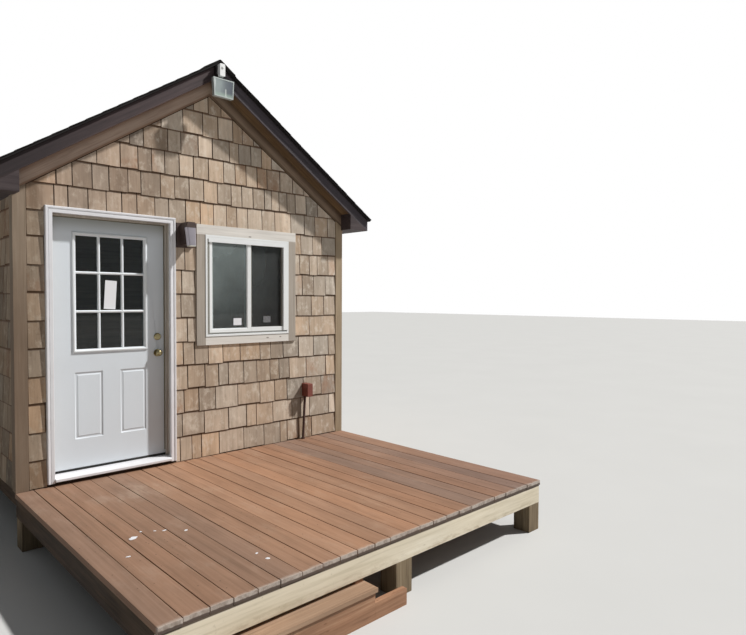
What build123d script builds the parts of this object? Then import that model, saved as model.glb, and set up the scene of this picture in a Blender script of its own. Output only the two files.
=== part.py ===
"""A small gabled lakeside cabin with a front deck and a box step.

Millimetres. X runs to the right along the front, Y runs back into the cabin, Z is up.
The origin is on the ground, under the middle of the whole building's box.
"""

import os
from math import atan, cos

from build123d import *

os.makedirs("parts", exist_ok=True)

# Driving dimensions of the cabin
cabin_width = 3140
cabin_depth = 3660
wall_thickness = 115
trim_thickness = 19
roof_pitch = 8 / 12
wall_height = 2313

# Base and floor
block_height = 190
block_width = 200
block_length = 400
skid_size = 89
skid_offset = 1100
skid_inset = 60
joist_depth = 140
joist_thickness = 38
joist_spacing = 406
floor_thickness = 18

# Roof layers, all measured square to the slope
shingle_thickness = 8
roof_deck_thickness = 12
rafter_depth = 89
rake_width = 100
rake_soffit_lift = 8
rake_soffit_thickness = 12
frieze_width = 106
cap_thickness = 6

# Roof edges
eave_reach = 230
drip_reach = 27
rake_reach = 155
roof_end_reach = 195
deck_setback = 10
cap_half_width = 150
rafter_thickness = 38
rafter_count = 5
ridge_board_thickness = 38
ridge_board_depth = 140
fascia_height = 113
eave_soffit_thickness = 12
return_width = 245

# Corner boards
corner_width = 90

# Deck and step
deck_top = 393
deck_depth = 2440
deck_board_thickness = 38
deck_overhang = 6
deck_rim_depth = 140
deck_rim_thickness = 38
deck_post_size = 140
deck_post_columns = 3
deck_post_rows = 2
step_rise = 203
step_reach = 100
step_width = 1040
step_board_width = 140
step_board_gap = 6
step_board_thickness = 25
step_overhang = 12
plank_height = 100
plank_reach = 250
step_packer_length = 60
step_packer_inset = 10

# Door
door_offset = 725
slab_width = 914
slab_height = 2005
slab_thickness = 44
door_gap = 5
sill_gap = 6
jamb_thickness = 32
stop_thickness = 12
stop_depth = 30
sill_thickness = 22
sill_reach = 30
sill_drop = 14
sill_lip = 20
casing_width = 50
casing_reach = 17
casing_drop = 10
latch_bevel = 3

# Door window, measured on its outer frame
lite_width = 595
lite_height = 956
lite_head = 119
lite_border = 27
lite_lap = 18
lite_reach = 12
door_glass_thickness = 12

# Moulded panels low on the door
panel_base = 241
panel_rail = 155
panel_inner = 69
panel_outer = 287
panel_groove = 7
panel_band = 26

# Door hardware
knob_backset = 72
knob_height = 895
knob_radius = 27
knob_length = 60
knob_neck_radius = 13
knob_neck_length = 24
spindle_radius = 9
rose_radius = 32
rose_thickness = 6
knob_clearance = 0.3
bolt_rise = 140
bolt_radius = 30
bolt_reach = 18
bolt_chamfer = 6
hinge_count = 3
hinge_height = 100
hinge_inset = 180
knuckle_radius = 6
knuckle_offset = 8
knuckle_gap = 0.3
leaf_thickness = 2

# Window, measured on its outer frame
window_spacing = 1249
window_width = 908
window_height = 920
window_head_drop = 102
window_border = 32
window_reach = 8
window_inner_depth = 70
sash_border = 30
sash_stile = 50
sash_bottom_rail = 42
sash_thickness = 22
sash_outer_set = 4
sash_inner_set = 30
pane_thickness = 14
window_trim_width = 86
window_head_height = 90
window_apron_height = 77
window_trim_reach = 6

# Wall lantern
lantern_spacing = 597
lantern_head_drop = 19
lantern_height = 211
plate_width = 150
plate_thickness = 10
lantern_width = 92
lantern_bottom_width = 74
lantern_back_depth = 70
lantern_reach = 135
lantern_lean = 25
hood_height = 46
hood_slope = 14
hood_margin = 2
glass_margin = 4
housing_lift = 18
glass_wall = 3

# Outlet box and its conduit
outlet_offset = 504
outlet_rise = 438
outlet_height = 131
outlet_width = 58
outlet_cover_width = 64
outlet_box_reach = 40
outlet_reach = 95
conduit_radius = 12.5
conduit_offset = 23
conduit_side = 15
conduit_lean = 23
conduit_foot_radius = 19
conduit_foot_height = 12

# Floodlight at the peak
flood_base_width = 84
flood_base_height = 76
flood_base_depth = 35
flood_base_lift = 8
sensor_width = 50
sensor_height = 106
sensor_depth = 42
sensor_drop = 12
sensor_fillet = 8
lamp_width = 200
lamp_bottom_width = 182
lamp_height = 158
lamp_back_width = 120
lamp_back_height = 90
lamp_depth = 84
lamp_shell_depth = 36
lamp_front_reach = 98
lens_thickness = 4
lens_recess = 2
lens_margin = 10
tilt_drop = 30
tilt_reach = 22
tilt_radius = 10
tilt_lug_half = 12
tilt_ear = 4
tilt_gap = 0.3
lamp_drop = 14
lug_root = 50

# Planes worked out from the driving dimensions
slope = atan(roof_pitch)
half_width = cabin_width / 2
wall_x = half_width - trim_thickness
room_x = wall_x - wall_thickness
roof_x = half_width + eave_reach + drip_reach
fascia_x = half_width + eave_reach
return_x = fascia_x - return_width
front_face = (deck_depth + step_reach - cabin_depth - roof_end_reach) / 2
back_face = front_face + cabin_depth
front_wall = front_face + trim_thickness
back_wall_face = back_face - trim_thickness
room_front = front_wall + wall_thickness
room_back = back_wall_face - wall_thickness
floor_base = block_height + skid_size + joist_depth
floor_top = floor_base + floor_thickness
deck_front = front_face - deck_depth

under_shingles = shingle_thickness
under_deck = shingle_thickness + roof_deck_thickness
under_rafters = under_deck + rafter_depth
under_rake = under_deck + rake_width
under_rake_soffit = under_rake - rake_soffit_lift
under_frieze = under_rake_soffit + frieze_width

ridge_height = floor_top + wall_height + wall_x * roof_pitch + under_rafters / cos(slope)
eave_soffit_height = ridge_height - fascia_x * roof_pitch - under_deck / cos(slope) - fascia_height

door_centre = door_offset - half_width
slab_base = floor_top + sill_thickness + sill_gap
slab_top = slab_base + slab_height
slab_face = room_front - slab_thickness
slab_left = door_centre - slab_width / 2
slab_right = door_centre + slab_width / 2
jamb_inner = slab_width / 2 + door_gap
jamb_outer = jamb_inner + jamb_thickness
head_inner = slab_top + door_gap
head_outer = head_inner + jamb_thickness


def finish(piece, name):
    """Label a finished piece and write it to its own file."""
    piece.part.label = name
    export_step(piece.part, f"parts/{name}.step")


def block(x_low, x_high, y_low, y_high, z_low, z_high, mode=Mode.ADD):
    """Put a box into the piece being made, given by its low and high coordinates."""
    middle = ((x_low + x_high) / 2, (y_low + y_high) / 2, (z_low + z_high) / 2)
    with Locations(middle):
        Box(x_high - x_low, y_high - y_low, z_high - z_low, mode=mode)


def prism_xz(points, y_low, y_high, mode=Mode.ADD):
    """Run an outline drawn on the front view back from y_low to y_high."""
    with BuildSketch(Plane.XZ.offset(-y_high)) as outline:
        with BuildLine():
            Polyline(*points, close=True)
        make_face()
    extrude(outline.sketch, amount=y_high - y_low, mode=mode)


def prism_yz(points, x_low, x_high, mode=Mode.ADD):
    """Run an outline drawn on the side view across from x_low to x_high."""
    with BuildSketch(Plane.YZ.offset(x_low)) as outline:
        with BuildLine():
            Polyline(*points, close=True)
        make_face()
    extrude(outline.sketch, amount=x_high - x_low, mode=mode)


def roof_height(x, depth):
    """Height of the plane that lies a given depth under the roof's surface, at x."""
    return ridge_height - abs(x) * roof_pitch - depth / cos(slope)


def roof_reach(z, depth):
    """Distance from the middle at which that plane comes down to height z."""
    return (ridge_height - depth / cos(slope) - z) / roof_pitch


def chevron(half, top, bottom, y_low, y_high):
    """Both slopes of one roof layer, between two depths, out to plumb ends."""
    points = [
        (-half, roof_height(half, top)),
        (0, roof_height(0, top)),
        (half, roof_height(half, top)),
        (half, roof_height(half, bottom)),
        (0, roof_height(0, bottom)),
        (-half, roof_height(half, bottom)),
    ]
    prism_xz(points, y_low, y_high)


def spread(count, low, high):
    """Evenly spaced places, the first at low and the last at high."""
    return [low + (high - low) * step / (count - 1) for step in range(count)]


# Concrete blocks under the skids
block_places = spread(3, front_wall + block_length / 2, back_wall_face - block_length / 2)
with BuildPart() as foundation_blocks:
    with Locations(*[(side * skid_offset, y, block_height / 2) for side in (-1, 1) for y in block_places]):
        Box(block_width, block_length, block_height)
finish(foundation_blocks, "foundation_blocks")

# Two long timber skids that carry the floor
with BuildPart() as floor_skids:
    for side in (-1, 1):
        middle = side * skid_offset
        block(
            middle - skid_size / 2,
            middle + skid_size / 2,
            front_wall + skid_inset,
            back_wall_face - skid_inset,
            block_height,
            block_height + skid_size,
        )
finish(floor_skids, "floor_skids")

# Floor frame: joists from side to side, between two rim boards
joist_base = floor_base - joist_depth
joist_count = round((cabin_depth - 2 * trim_thickness) / joist_spacing) + 1
joist_places = spread(joist_count, front_wall + joist_thickness / 2, back_wall_face - joist_thickness / 2)
with BuildPart() as floor_joists:
    for y in joist_places:
        block(
            joist_thickness - wall_x,
            wall_x - joist_thickness,
            y - joist_thickness / 2,
            y + joist_thickness / 2,
            joist_base,
            floor_base,
        )
finish(floor_joists, "floor_joists")

with BuildPart() as floor_rim_boards:
    for side in (-1, 1):
        x_low, x_high = sorted((side * (wall_x - joist_thickness), side * wall_x))
        block(x_low, x_high, front_wall, back_wall_face, joist_base, floor_base)
finish(floor_rim_boards, "floor_rim_boards")

with BuildPart() as cabin_floor:
    block(-wall_x, wall_x, front_wall, back_wall_face, floor_base, floor_top)
finish(cabin_floor, "cabin_floor")

# Front wall, split beside and over the doorway
window_centre = door_centre + window_spacing
window_top = head_outer - window_head_drop
window_base = window_top - window_height
with BuildPart() as front_wall_left:
    block(-wall_x, door_centre - jamb_outer, front_wall, room_front, floor_top, head_outer)
finish(front_wall_left, "front_wall_left")

with BuildPart() as front_wall_right:
    block(door_centre + jamb_outer, wall_x, front_wall, room_front, floor_top, head_outer)
    block(
        window_centre - window_width / 2,
        window_centre + window_width / 2,
        front_wall,
        room_front,
        window_base,
        window_base + window_height,
        mode=Mode.SUBTRACT,
    )
finish(front_wall_right, "front_wall_right")


def gable_outline(base):
    """The end wall's outline from a level base up to the underside of the roof."""
    return [
        (-wall_x, base),
        (wall_x, base),
        (wall_x, roof_height(wall_x, under_deck)),
        (0, roof_height(0, under_deck)),
        (-wall_x, roof_height(wall_x, under_deck)),
    ]


with BuildPart() as front_gable:
    prism_xz(gable_outline(head_outer), front_wall, room_front)
finish(front_gable, "front_gable")

with BuildPart() as back_wall:
    prism_xz(gable_outline(floor_top), room_back, back_wall_face)
finish(back_wall, "back_wall")

# Side walls, with tops that follow the rafters
for side, name in ((-1, "left_wall"), (1, "right_wall")):
    with BuildPart() as side_wall:
        outline = [
            (side * room_x, floor_top),
            (side * wall_x, floor_top),
            (side * wall_x, roof_height(wall_x, under_rafters)),
            (side * room_x, roof_height(room_x, under_rafters)),
        ]
        prism_xz(outline, room_front, room_back)
    finish(side_wall, name)

# Corner boards: one board on the end wall and one on the side wall at each corner
corner_inner = half_width - corner_width
with BuildPart() as corner_boards:
    for side in (-1, 1):
        board = [
            (side * corner_inner, deck_top),
            (side * half_width, deck_top),
            (side * half_width, eave_soffit_height),
            (side * return_x, eave_soffit_height),
            (side * return_x, roof_height(return_x, under_frieze)),
            (side * corner_inner, roof_height(corner_inner, under_frieze)),
        ]
        side_low, side_high = sorted((side * wall_x, side * half_width))
        for outer, inward in ((front_face, 1), (back_face, -1)):
            y_low, y_high = sorted((outer, outer + inward * trim_thickness))
            prism_xz(board, y_low, y_high)
            y_low, y_high = sorted((outer, outer + inward * corner_width))
            block(side_low, side_high, y_low, y_high, deck_top, eave_soffit_height)
finish(corner_boards, "corner_boards")

with BuildPart() as frieze_boards:
    chevron(return_x, under_rake_soffit, under_frieze, front_face, front_wall)
    chevron(return_x, under_rake_soffit, under_frieze, back_wall_face, back_face)
finish(frieze_boards, "frieze_boards")

# Rafters in pairs, butted against the two faces of a ridge board
ridge_half = ridge_board_thickness / 2
rafter_foot = fascia_x - trim_thickness
rafter_places = spread(rafter_count + 2, room_front, room_back)[1:-1]
with BuildPart() as rafters:
    for y in rafter_places:
        for side in (-1, 1):
            rafter = [
                (side * ridge_half, roof_height(ridge_half, under_deck)),
                (side * rafter_foot, roof_height(rafter_foot, under_deck)),
                (side * rafter_foot, roof_height(rafter_foot, under_rafters)),
                (side * ridge_half, roof_height(ridge_half, under_rafters)),
            ]
            prism_xz(rafter, y - rafter_thickness / 2, y + rafter_thickness / 2)
finish(rafters, "rafters")

ridge_top = roof_height(ridge_half, under_deck)
with BuildPart() as ridge_board:
    block(-ridge_half, ridge_half, room_front, room_back, ridge_top - ridge_board_depth, ridge_top)
finish(ridge_board, "ridge_board")

# Sheathing and shingle layers of the roof
roof_front = front_face - roof_end_reach
roof_back = back_face + roof_end_reach
with BuildPart() as roof_deck:
    chevron(roof_x - deck_setback, under_shingles, under_deck, roof_front + deck_setback, roof_back - deck_setback)
finish(roof_deck, "roof_deck")

with BuildPart() as roof_shingles:
    chevron(roof_x, 0, under_shingles, roof_front, roof_back)
finish(roof_shingles, "roof_shingles")

with BuildPart() as ridge_cap:
    chevron(cap_half_width, -cap_thickness, 0, roof_front, roof_back)
finish(ridge_cap, "ridge_cap")

# Rake boards, which end level with the eave soffit
rake_tail = roof_reach(eave_soffit_height, under_rake)
rake_front = front_face - rake_reach
rake_back = back_face + rake_reach
for side, name in ((-1, "rake_boards_left"), (1, "rake_boards_right")):
    with BuildPart() as rake_boards:
        board = [
            (0, roof_height(0, under_deck)),
            (side * fascia_x, roof_height(fascia_x, under_deck)),
            (side * fascia_x, eave_soffit_height),
            (side * rake_tail, eave_soffit_height),
            (0, roof_height(0, under_rake)),
        ]
        prism_xz(board, rake_front, rake_front + trim_thickness)
        prism_xz(board, rake_back - trim_thickness, rake_back)
    finish(rake_boards, name)

with BuildPart() as rake_soffits:
    soffit_top = under_rake_soffit - rake_soffit_thickness
    chevron(return_x, soffit_top, under_rake_soffit, rake_front + trim_thickness, front_wall)
    chevron(return_x, soffit_top, under_rake_soffit, back_wall_face, rake_back - trim_thickness)
finish(rake_soffits, "rake_soffits")

# Boxed cornice returns: a triangular front board and a side board at each corner
with BuildPart() as cornice_returns:
    for side in (-1, 1):
        front_board = [
            (side * return_x, eave_soffit_height),
            (side * rake_tail, eave_soffit_height),
            (side * return_x, roof_height(return_x, under_rake)),
        ]
        return_side = return_x + trim_thickness
        side_board = [
            (side * return_x, eave_soffit_height),
            (side * return_side, eave_soffit_height),
            (side * return_side, roof_height(return_side, under_deck)),
            (side * return_x, roof_height(return_x, under_deck)),
        ]
        prism_xz(front_board, rake_front, rake_front + trim_thickness)
        prism_xz(side_board, rake_front + trim_thickness, front_wall)
        prism_xz(front_board, rake_back - trim_thickness, rake_back)
        prism_xz(side_board, back_wall_face, rake_back - trim_thickness)
finish(cornice_returns, "cornice_returns")

with BuildPart() as eave_fascias:
    for side in (-1, 1):
        inner = fascia_x - trim_thickness
        board = [
            (side * inner, eave_soffit_height),
            (side * fascia_x, eave_soffit_height),
            (side * fascia_x, roof_height(fascia_x, under_deck)),
            (side * inner, roof_height(inner, under_deck)),
        ]
        prism_xz(board, rake_front + trim_thickness, rake_back - trim_thickness)
finish(eave_fascias, "eave_fascias")

soffit_roof = eave_soffit_height + eave_soffit_thickness
soffit_x = fascia_x - trim_thickness
with BuildPart() as eave_soffits:
    for side in (-1, 1):
        x_low, x_high = sorted((side * wall_x, side * soffit_x))
        block(x_low, x_high, front_wall, back_wall_face, eave_soffit_height, soffit_roof)
finish(eave_soffits, "eave_soffits")

with BuildPart() as return_soffits:
    for side in (-1, 1):
        x_low, x_high = sorted((side * (return_x + trim_thickness), side * soffit_x))
        block(x_low, x_high, rake_front + trim_thickness, front_wall, eave_soffit_height, soffit_roof)
        block(x_low, x_high, back_wall_face, rake_back - trim_thickness, eave_soffit_height, soffit_roof)
finish(return_soffits, "return_soffits")

# Door frame: two jambs and a head, with a stop all round in front of the slab
jamb_base = floor_top + sill_thickness
stop_back = slab_face - door_gap
with BuildPart() as door_frame:
    block(door_centre - jamb_outer, door_centre + jamb_outer, front_wall, room_front, jamb_base, head_outer)
    block(
        door_centre - jamb_inner,
        door_centre + jamb_inner,
        front_wall,
        room_front,
        jamb_base,
        head_inner,
        mode=Mode.SUBTRACT,
    )
finish(door_frame, "door_frame")

with BuildPart() as door_stops:
    stop_inner = jamb_inner - stop_thickness
    block(
        door_centre - jamb_inner,
        door_centre + jamb_inner,
        stop_back - stop_depth,
        stop_back,
        jamb_base,
        head_inner,
    )
    block(
        door_centre - stop_inner,
        door_centre + stop_inner,
        stop_back - stop_depth,
        stop_back,
        jamb_base,
        head_inner - stop_thickness,
        mode=Mode.SUBTRACT,
    )
finish(door_stops, "door_stops")

# Sill: a flat seat under the jambs and a sloping nose between the casings
with BuildPart() as door_sill:
    sill_top = floor_top + sill_thickness
    nose_top = sill_top - sill_drop
    block(door_centre - jamb_outer, door_centre + jamb_outer, front_wall, room_front, floor_top, sill_top)
    nose = [
        (front_wall, sill_top),
        (front_face - sill_reach, nose_top),
        (front_face - sill_reach, nose_top - sill_lip),
        (front_wall, nose_top - sill_lip),
    ]
    prism_yz(nose, door_centre - jamb_inner, door_centre + jamb_inner)
finish(door_sill, "door_sill")

with BuildPart() as door_casing:
    casing_outer = jamb_inner + casing_width
    casing_base = nose_top - sill_lip - casing_drop
    casing_front = front_face - casing_reach
    block(
        door_centre - casing_outer,
        door_centre + casing_outer,
        casing_front,
        front_wall,
        casing_base,
        head_inner + casing_width,
    )
    block(
        door_centre - jamb_inner,
        door_centre + jamb_inner,
        casing_front,
        front_wall,
        casing_base,
        head_inner,
        mode=Mode.SUBTRACT,
    )
finish(door_casing, "door_casing")

# Door slab, with its latch edge bevelled so that it clears the jamb as it swings
lite_base = slab_height - lite_head - lite_height
lite_z = slab_base + lite_base + lite_height / 2
lite_hole_width = lite_width - 2 * lite_lap
lite_hole_height = lite_height - 2 * lite_lap
knob_x = slab_right - knob_backset
knob_z = slab_base + knob_height
bolt_z = knob_z + bolt_rise
with BuildPart() as door_slab:
    with BuildSketch(Plane.XY.offset(slab_base)) as slab_plan:
        with BuildLine():
            Polyline(
                (slab_left, slab_face),
                (slab_right - latch_bevel, slab_face),
                (slab_right, room_front),
                (slab_left, room_front),
                close=True,
            )
        make_face()
    extrude(amount=slab_height)
    with BuildSketch(Plane.XZ.offset(-slab_face)) as openings:
        with Locations((door_centre, lite_z)):
            Rectangle(lite_hole_width, lite_hole_height)
        with Locations((knob_x, knob_z)):
            Circle(spindle_radius + knob_clearance)
    extrude(amount=-slab_thickness, mode=Mode.SUBTRACT)
    panel_height = lite_base - panel_rail - panel_base
    panel_middle = (panel_inner + panel_outer) / 2
    panel_width = panel_outer - panel_inner
    panel_z = slab_base + panel_base + panel_height / 2
    panel_places = [(door_centre - panel_middle, panel_z), (door_centre + panel_middle, panel_z)]
    with BuildSketch(Plane.XZ.offset(-slab_face)) as grooves:
        with Locations(*panel_places):
            Rectangle(panel_width, panel_height)
            Rectangle(panel_width - 2 * panel_band, panel_height - 2 * panel_band, mode=Mode.SUBTRACT)
    extrude(amount=-panel_groove, mode=Mode.SUBTRACT)
finish(door_slab, "door_slab")

# Door window frame: a band through the slab with a flange on each face
with BuildPart() as door_lite_frame:
    lite_left = door_centre - lite_width / 2
    lite_right = door_centre + lite_width / 2
    lite_low = lite_z - lite_height / 2
    lite_high = lite_z + lite_height / 2
    lite_front = slab_face - lite_reach
    lite_back = room_front + lite_reach
    for y_low, y_high in ((lite_front, slab_face), (room_front, lite_back)):
        block(lite_left, lite_right, y_low, y_high, lite_low, lite_high)
    block(
        lite_left + lite_lap,
        lite_right - lite_lap,
        slab_face,
        room_front,
        lite_low + lite_lap,
        lite_high - lite_lap,
    )
    block(
        lite_left + lite_border,
        lite_right - lite_border,
        lite_front,
        lite_back,
        lite_low + lite_border,
        lite_high - lite_border,
        mode=Mode.SUBTRACT,
    )
finish(door_lite_frame, "door_lite_frame")

with BuildPart() as door_glass:
    glass_middle = (slab_face + room_front) / 2
    block(
        lite_left + lite_border,
        lite_right - lite_border,
        glass_middle - door_glass_thickness / 2,
        glass_middle + door_glass_thickness / 2,
        lite_low + lite_border,
        lite_high - lite_border,
    )
finish(door_glass, "door_glass")

# Knob turned in one piece with its spindle, on the axis square to the door
with BuildPart() as door_knob:
    with BuildSketch(Plane.YZ.offset(knob_x)) as knob_profile:
        outer_tip = slab_face - knob_length
        inner_tip = room_front + knob_length
        outer_neck = slab_face - knob_neck_length
        inner_neck = room_front + knob_neck_length
        outer_rose = slab_face - rose_thickness - knob_clearance
        inner_rose = room_front + rose_thickness + knob_clearance
        with BuildLine():
            Polyline(
                (inner_neck, knob_z + knob_neck_radius),
                (inner_rose, knob_z + knob_neck_radius),
                (inner_rose, knob_z + spindle_radius),
                (outer_rose, knob_z + spindle_radius),
                (outer_rose, knob_z + knob_neck_radius),
                (outer_neck, knob_z + knob_neck_radius),
            )
            ThreePointArc(
                (outer_neck, knob_z + knob_neck_radius),
                ((outer_neck + outer_tip) / 2, knob_z + knob_radius),
                (outer_tip, knob_z + knob_neck_radius),
            )
            Polyline(
                (outer_tip, knob_z + knob_neck_radius),
                (outer_tip, knob_z),
                (inner_tip, knob_z),
                (inner_tip, knob_z + knob_neck_radius),
            )
            ThreePointArc(
                (inner_tip, knob_z + knob_neck_radius),
                ((inner_neck + inner_tip) / 2, knob_z + knob_radius),
                (inner_neck, knob_z + knob_neck_radius),
            )
        make_face()
    revolve(axis=Axis((knob_x, 0, knob_z), (0, 1, 0)))
finish(door_knob, "door_knob")

with BuildPart() as door_knob_roses:
    for face, outward in ((slab_face, -1), (room_front, 1)):
        with BuildSketch(Plane.XZ.offset(-face)) as rose:
            with Locations((knob_x, knob_z)):
                Circle(rose_radius)
                Circle(spindle_radius + knob_clearance, mode=Mode.SUBTRACT)
        extrude(amount=-outward * rose_thickness)
finish(door_knob_roses, "door_knob_roses")

with BuildPart() as door_deadbolt:
    for face, outward in ((slab_face, -1), (room_front, 1)):
        with BuildSketch(Plane.XZ.offset(-face)) as bolt_rose:
            with Locations((knob_x, bolt_z)):
                Circle(bolt_radius)
        extrude(amount=-outward * bolt_reach)
    rims = door_deadbolt.edges().filter_by(GeomType.CIRCLE).sort_by(Axis.Y)
    chamfer([rims[0], rims[-1]], bolt_chamfer)
finish(door_deadbolt, "door_deadbolt")

# Hinges: the frame holds the end knuckles and the slab holds the middle one
pin_x = slab_left - door_gap / 2
pin_y = room_front + knuckle_offset
hinge_places = spread(hinge_count, slab_base + hinge_inset, slab_top - hinge_inset)
knuckle_third = hinge_height / 3


def knuckle(z_low, z_high):
    """One barrel of a hinge, round the pin line."""
    with Locations((pin_x, pin_y, (z_low + z_high) / 2)):
        Cylinder(knuckle_radius, z_high - z_low)


with BuildPart() as door_hinges:
    for z in hinge_places:
        low = z - hinge_height / 2
        high = z + hinge_height / 2
        block(pin_x - door_gap / 2, pin_x - door_gap / 2 + leaf_thickness, slab_face, room_front, low, high)
        for z_low, z_high in ((low, low + knuckle_third), (high - knuckle_third, high)):
            block(pin_x - door_gap / 2, pin_x - door_gap / 2 + leaf_thickness, room_front, pin_y, z_low, z_high)
            knuckle(z_low, z_high)
finish(door_hinges, "door_hinges")

with BuildPart() as door_hinge_leaves:
    for z in hinge_places:
        low = z - knuckle_third / 2 + knuckle_gap
        high = z + knuckle_third / 2 - knuckle_gap
        block(
            slab_left - leaf_thickness,
            slab_left,
            slab_face,
            room_front,
            z - hinge_height / 2,
            z + hinge_height / 2,
        )
        block(slab_left - leaf_thickness, slab_left, room_front, pin_y, low, high)
        knuckle(low, high)
finish(door_hinge_leaves, "door_hinge_leaves")

# Sliding window: an outer frame, two sashes one behind the other, and their panes
window_left = window_centre - window_width / 2
window_right = window_centre + window_width / 2
with BuildPart() as window_frame:
    block(
        window_left,
        window_right,
        front_face - window_reach,
        front_face + window_inner_depth,
        window_base,
        window_top,
    )
    block(
        window_left + window_border,
        window_right - window_border,
        front_face - window_reach,
        front_face + window_inner_depth,
        window_base + window_border,
        window_top - window_border,
        mode=Mode.SUBTRACT,
    )
finish(window_frame, "window_frame")

sash_low = window_base + window_border
sash_high = window_top - window_border
meeting_left = window_centre - sash_stile / 2
meeting_right = window_centre + sash_stile / 2
outer_sash = (window_left + window_border, meeting_right, sash_border, sash_stile, front_face + sash_outer_set)
inner_sash = (meeting_left, window_right - window_border, sash_stile, sash_border, front_face + sash_inner_set)
with BuildPart() as window_sashes:
    for x_low, x_high, stile_left, stile_right, y in (outer_sash, inner_sash):
        block(x_low, x_high, y, y + sash_thickness, sash_low, sash_high)
        block(
            x_low + stile_left,
            x_high - stile_right,
            y,
            y + sash_thickness,
            sash_low + sash_bottom_rail,
            sash_high - sash_border,
            mode=Mode.SUBTRACT,
        )
finish(window_sashes, "window_sashes")

with BuildPart() as window_glass:
    for x_low, x_high, stile_left, stile_right, y in (outer_sash, inner_sash):
        pane_front = y + (sash_thickness - pane_thickness) / 2
        block(
            x_low + stile_left,
            x_high - stile_right,
            pane_front,
            pane_front + pane_thickness,
            sash_low + sash_bottom_rail,
            sash_high - sash_border,
        )
finish(window_glass, "window_glass")

trim_face = front_face - window_trim_reach
with BuildPart() as window_side_casings:
    trim_low = window_base - window_apron_height
    for x_low in (window_left - window_trim_width, window_right):
        block(x_low, x_low + window_trim_width, trim_face, front_wall, trim_low, window_top)
finish(window_side_casings, "window_side_casings")

with BuildPart() as window_head_and_apron:
    block(
        window_left - window_trim_width,
        window_right + window_trim_width,
        trim_face,
        front_wall,
        window_top,
        window_top + window_head_height,
    )
    block(window_left, window_right, trim_face, front_wall, trim_low, window_base)
finish(window_head_and_apron, "window_head_and_apron")

# Wall lantern: mounting block, housing and hood, with a tapered glass that leans out at the bottom
lantern_centre = door_centre + lantern_spacing
lantern_top = head_outer - lantern_head_drop
lantern_base = lantern_top - lantern_height
hood_base = lantern_top - hood_height
housing_back = front_face - plate_thickness
housing_front = housing_back - lantern_back_depth
lantern_front = front_face - lantern_reach


def lantern_loft(upper, lower, mode=Mode.ADD):
    """A solid between two level rectangles, each given as height, half width, back and front."""
    layers = []
    for z, half, y_back, y_front in (upper, lower):
        with BuildSketch(Plane.XY.offset(z)) as layer:
            with Locations((lantern_centre, (y_back + y_front) / 2)):
                Rectangle(2 * half, y_back - y_front)
        layers.append(layer.sketch.face())
    loft(layers, ruled=True, mode=mode)


with BuildPart() as lantern_body:
    lantern_loft(
        (hood_base, lantern_width / 2, housing_back, housing_front),
        (lantern_base, lantern_bottom_width / 2, housing_back, housing_front - lantern_lean),
    )
    block(
        lantern_centre - lantern_width / 2,
        lantern_centre + lantern_width / 2,
        housing_front - lantern_lean,
        housing_back,
        lantern_base,
        lantern_base + housing_lift,
        mode=Mode.SUBTRACT,
    )
    block(
        lantern_centre - plate_width / 2,
        lantern_centre + plate_width / 2,
        housing_back,
        front_wall,
        lantern_base,
        lantern_top,
    )
    hood_half = lantern_width / 2 + hood_margin
    hood = [
        (lantern_centre - hood_half, hood_base),
        (lantern_centre + hood_half, hood_base),
        (lantern_centre + hood_half - hood_slope, lantern_top),
        (lantern_centre - hood_half + hood_slope, lantern_top),
    ]
    prism_xz(hood, lantern_front - hood_margin, housing_back)
finish(lantern_body, "lantern_body")

with BuildPart() as lantern_glass:
    glass_top_half = lantern_width / 2 - glass_margin
    glass_bottom_half = lantern_bottom_width / 2 - glass_margin
    lantern_loft(
        (hood_base, glass_top_half, housing_front, lantern_front),
        (lantern_base, glass_bottom_half, housing_front - lantern_lean, lantern_front - lantern_lean),
    )
    lantern_loft(
        (hood_base, glass_top_half - glass_wall, housing_back, lantern_front + glass_wall),
        (
            lantern_base + glass_wall,
            glass_bottom_half - glass_wall,
            housing_back,
            lantern_front - lantern_lean + glass_wall,
        ),
        mode=Mode.SUBTRACT,
    )
finish(lantern_glass, "lantern_glass")

# Weatherproof outlet box, and the conduit that comes up to it from the deck
outlet_centre = half_width - outlet_offset
outlet_base = deck_top + outlet_rise
outlet_top = outlet_base + outlet_height
with BuildPart() as outlet_box:
    block(
        outlet_centre - outlet_width / 2,
        outlet_centre + outlet_width / 2,
        front_face - outlet_box_reach,
        front_wall,
        outlet_base,
        outlet_top,
    )
    block(
        outlet_centre - outlet_cover_width / 2,
        outlet_centre + outlet_cover_width / 2,
        front_face - outlet_reach,
        front_face - outlet_box_reach,
        outlet_base,
        outlet_top,
    )
finish(outlet_box, "outlet_box")

conduit_y = front_face - conduit_offset
conduit_head_x = outlet_centre - conduit_side
conduit_foot_x = conduit_head_x - conduit_lean
with BuildPart() as outlet_conduit:
    for x, z in ((conduit_foot_x, deck_top), (conduit_head_x, outlet_base)):
        with BuildSketch(Plane.XY.offset(z)):
            with Locations((x, conduit_y)):
                Circle(conduit_radius)
    loft(ruled=True)
    with Locations((conduit_foot_x, conduit_y, deck_top)):
        Cylinder(
            conduit_foot_radius,
            conduit_foot_height,
            align=(Align.CENTER, Align.CENTER, Align.MIN),
        )
finish(outlet_conduit, "outlet_conduit")

# Floodlight: a base on the rake boards, a sensor on it and a lamp that tilts below it
base_low = roof_height(0, under_rake) + flood_base_lift
base_high = base_low + flood_base_height
base_front = rake_front - flood_base_depth
tilt_y = rake_front - tilt_reach
tilt_z = base_low - tilt_drop
with BuildPart() as flood_base:
    base_half = flood_base_width / 2
    block(-base_half, base_half, base_front, rake_front, base_low, base_high)
    ear_front = tilt_y - tilt_radius
    ear_back = tilt_y + tilt_radius
    for side in (-1, 1):
        inner = tilt_lug_half + tilt_gap
        x_low, x_high = sorted((side * inner, side * (inner + tilt_ear)))
        block(x_low, x_high, ear_front, ear_back, tilt_z - tilt_radius, base_low)
finish(flood_base, "flood_base")

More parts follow.
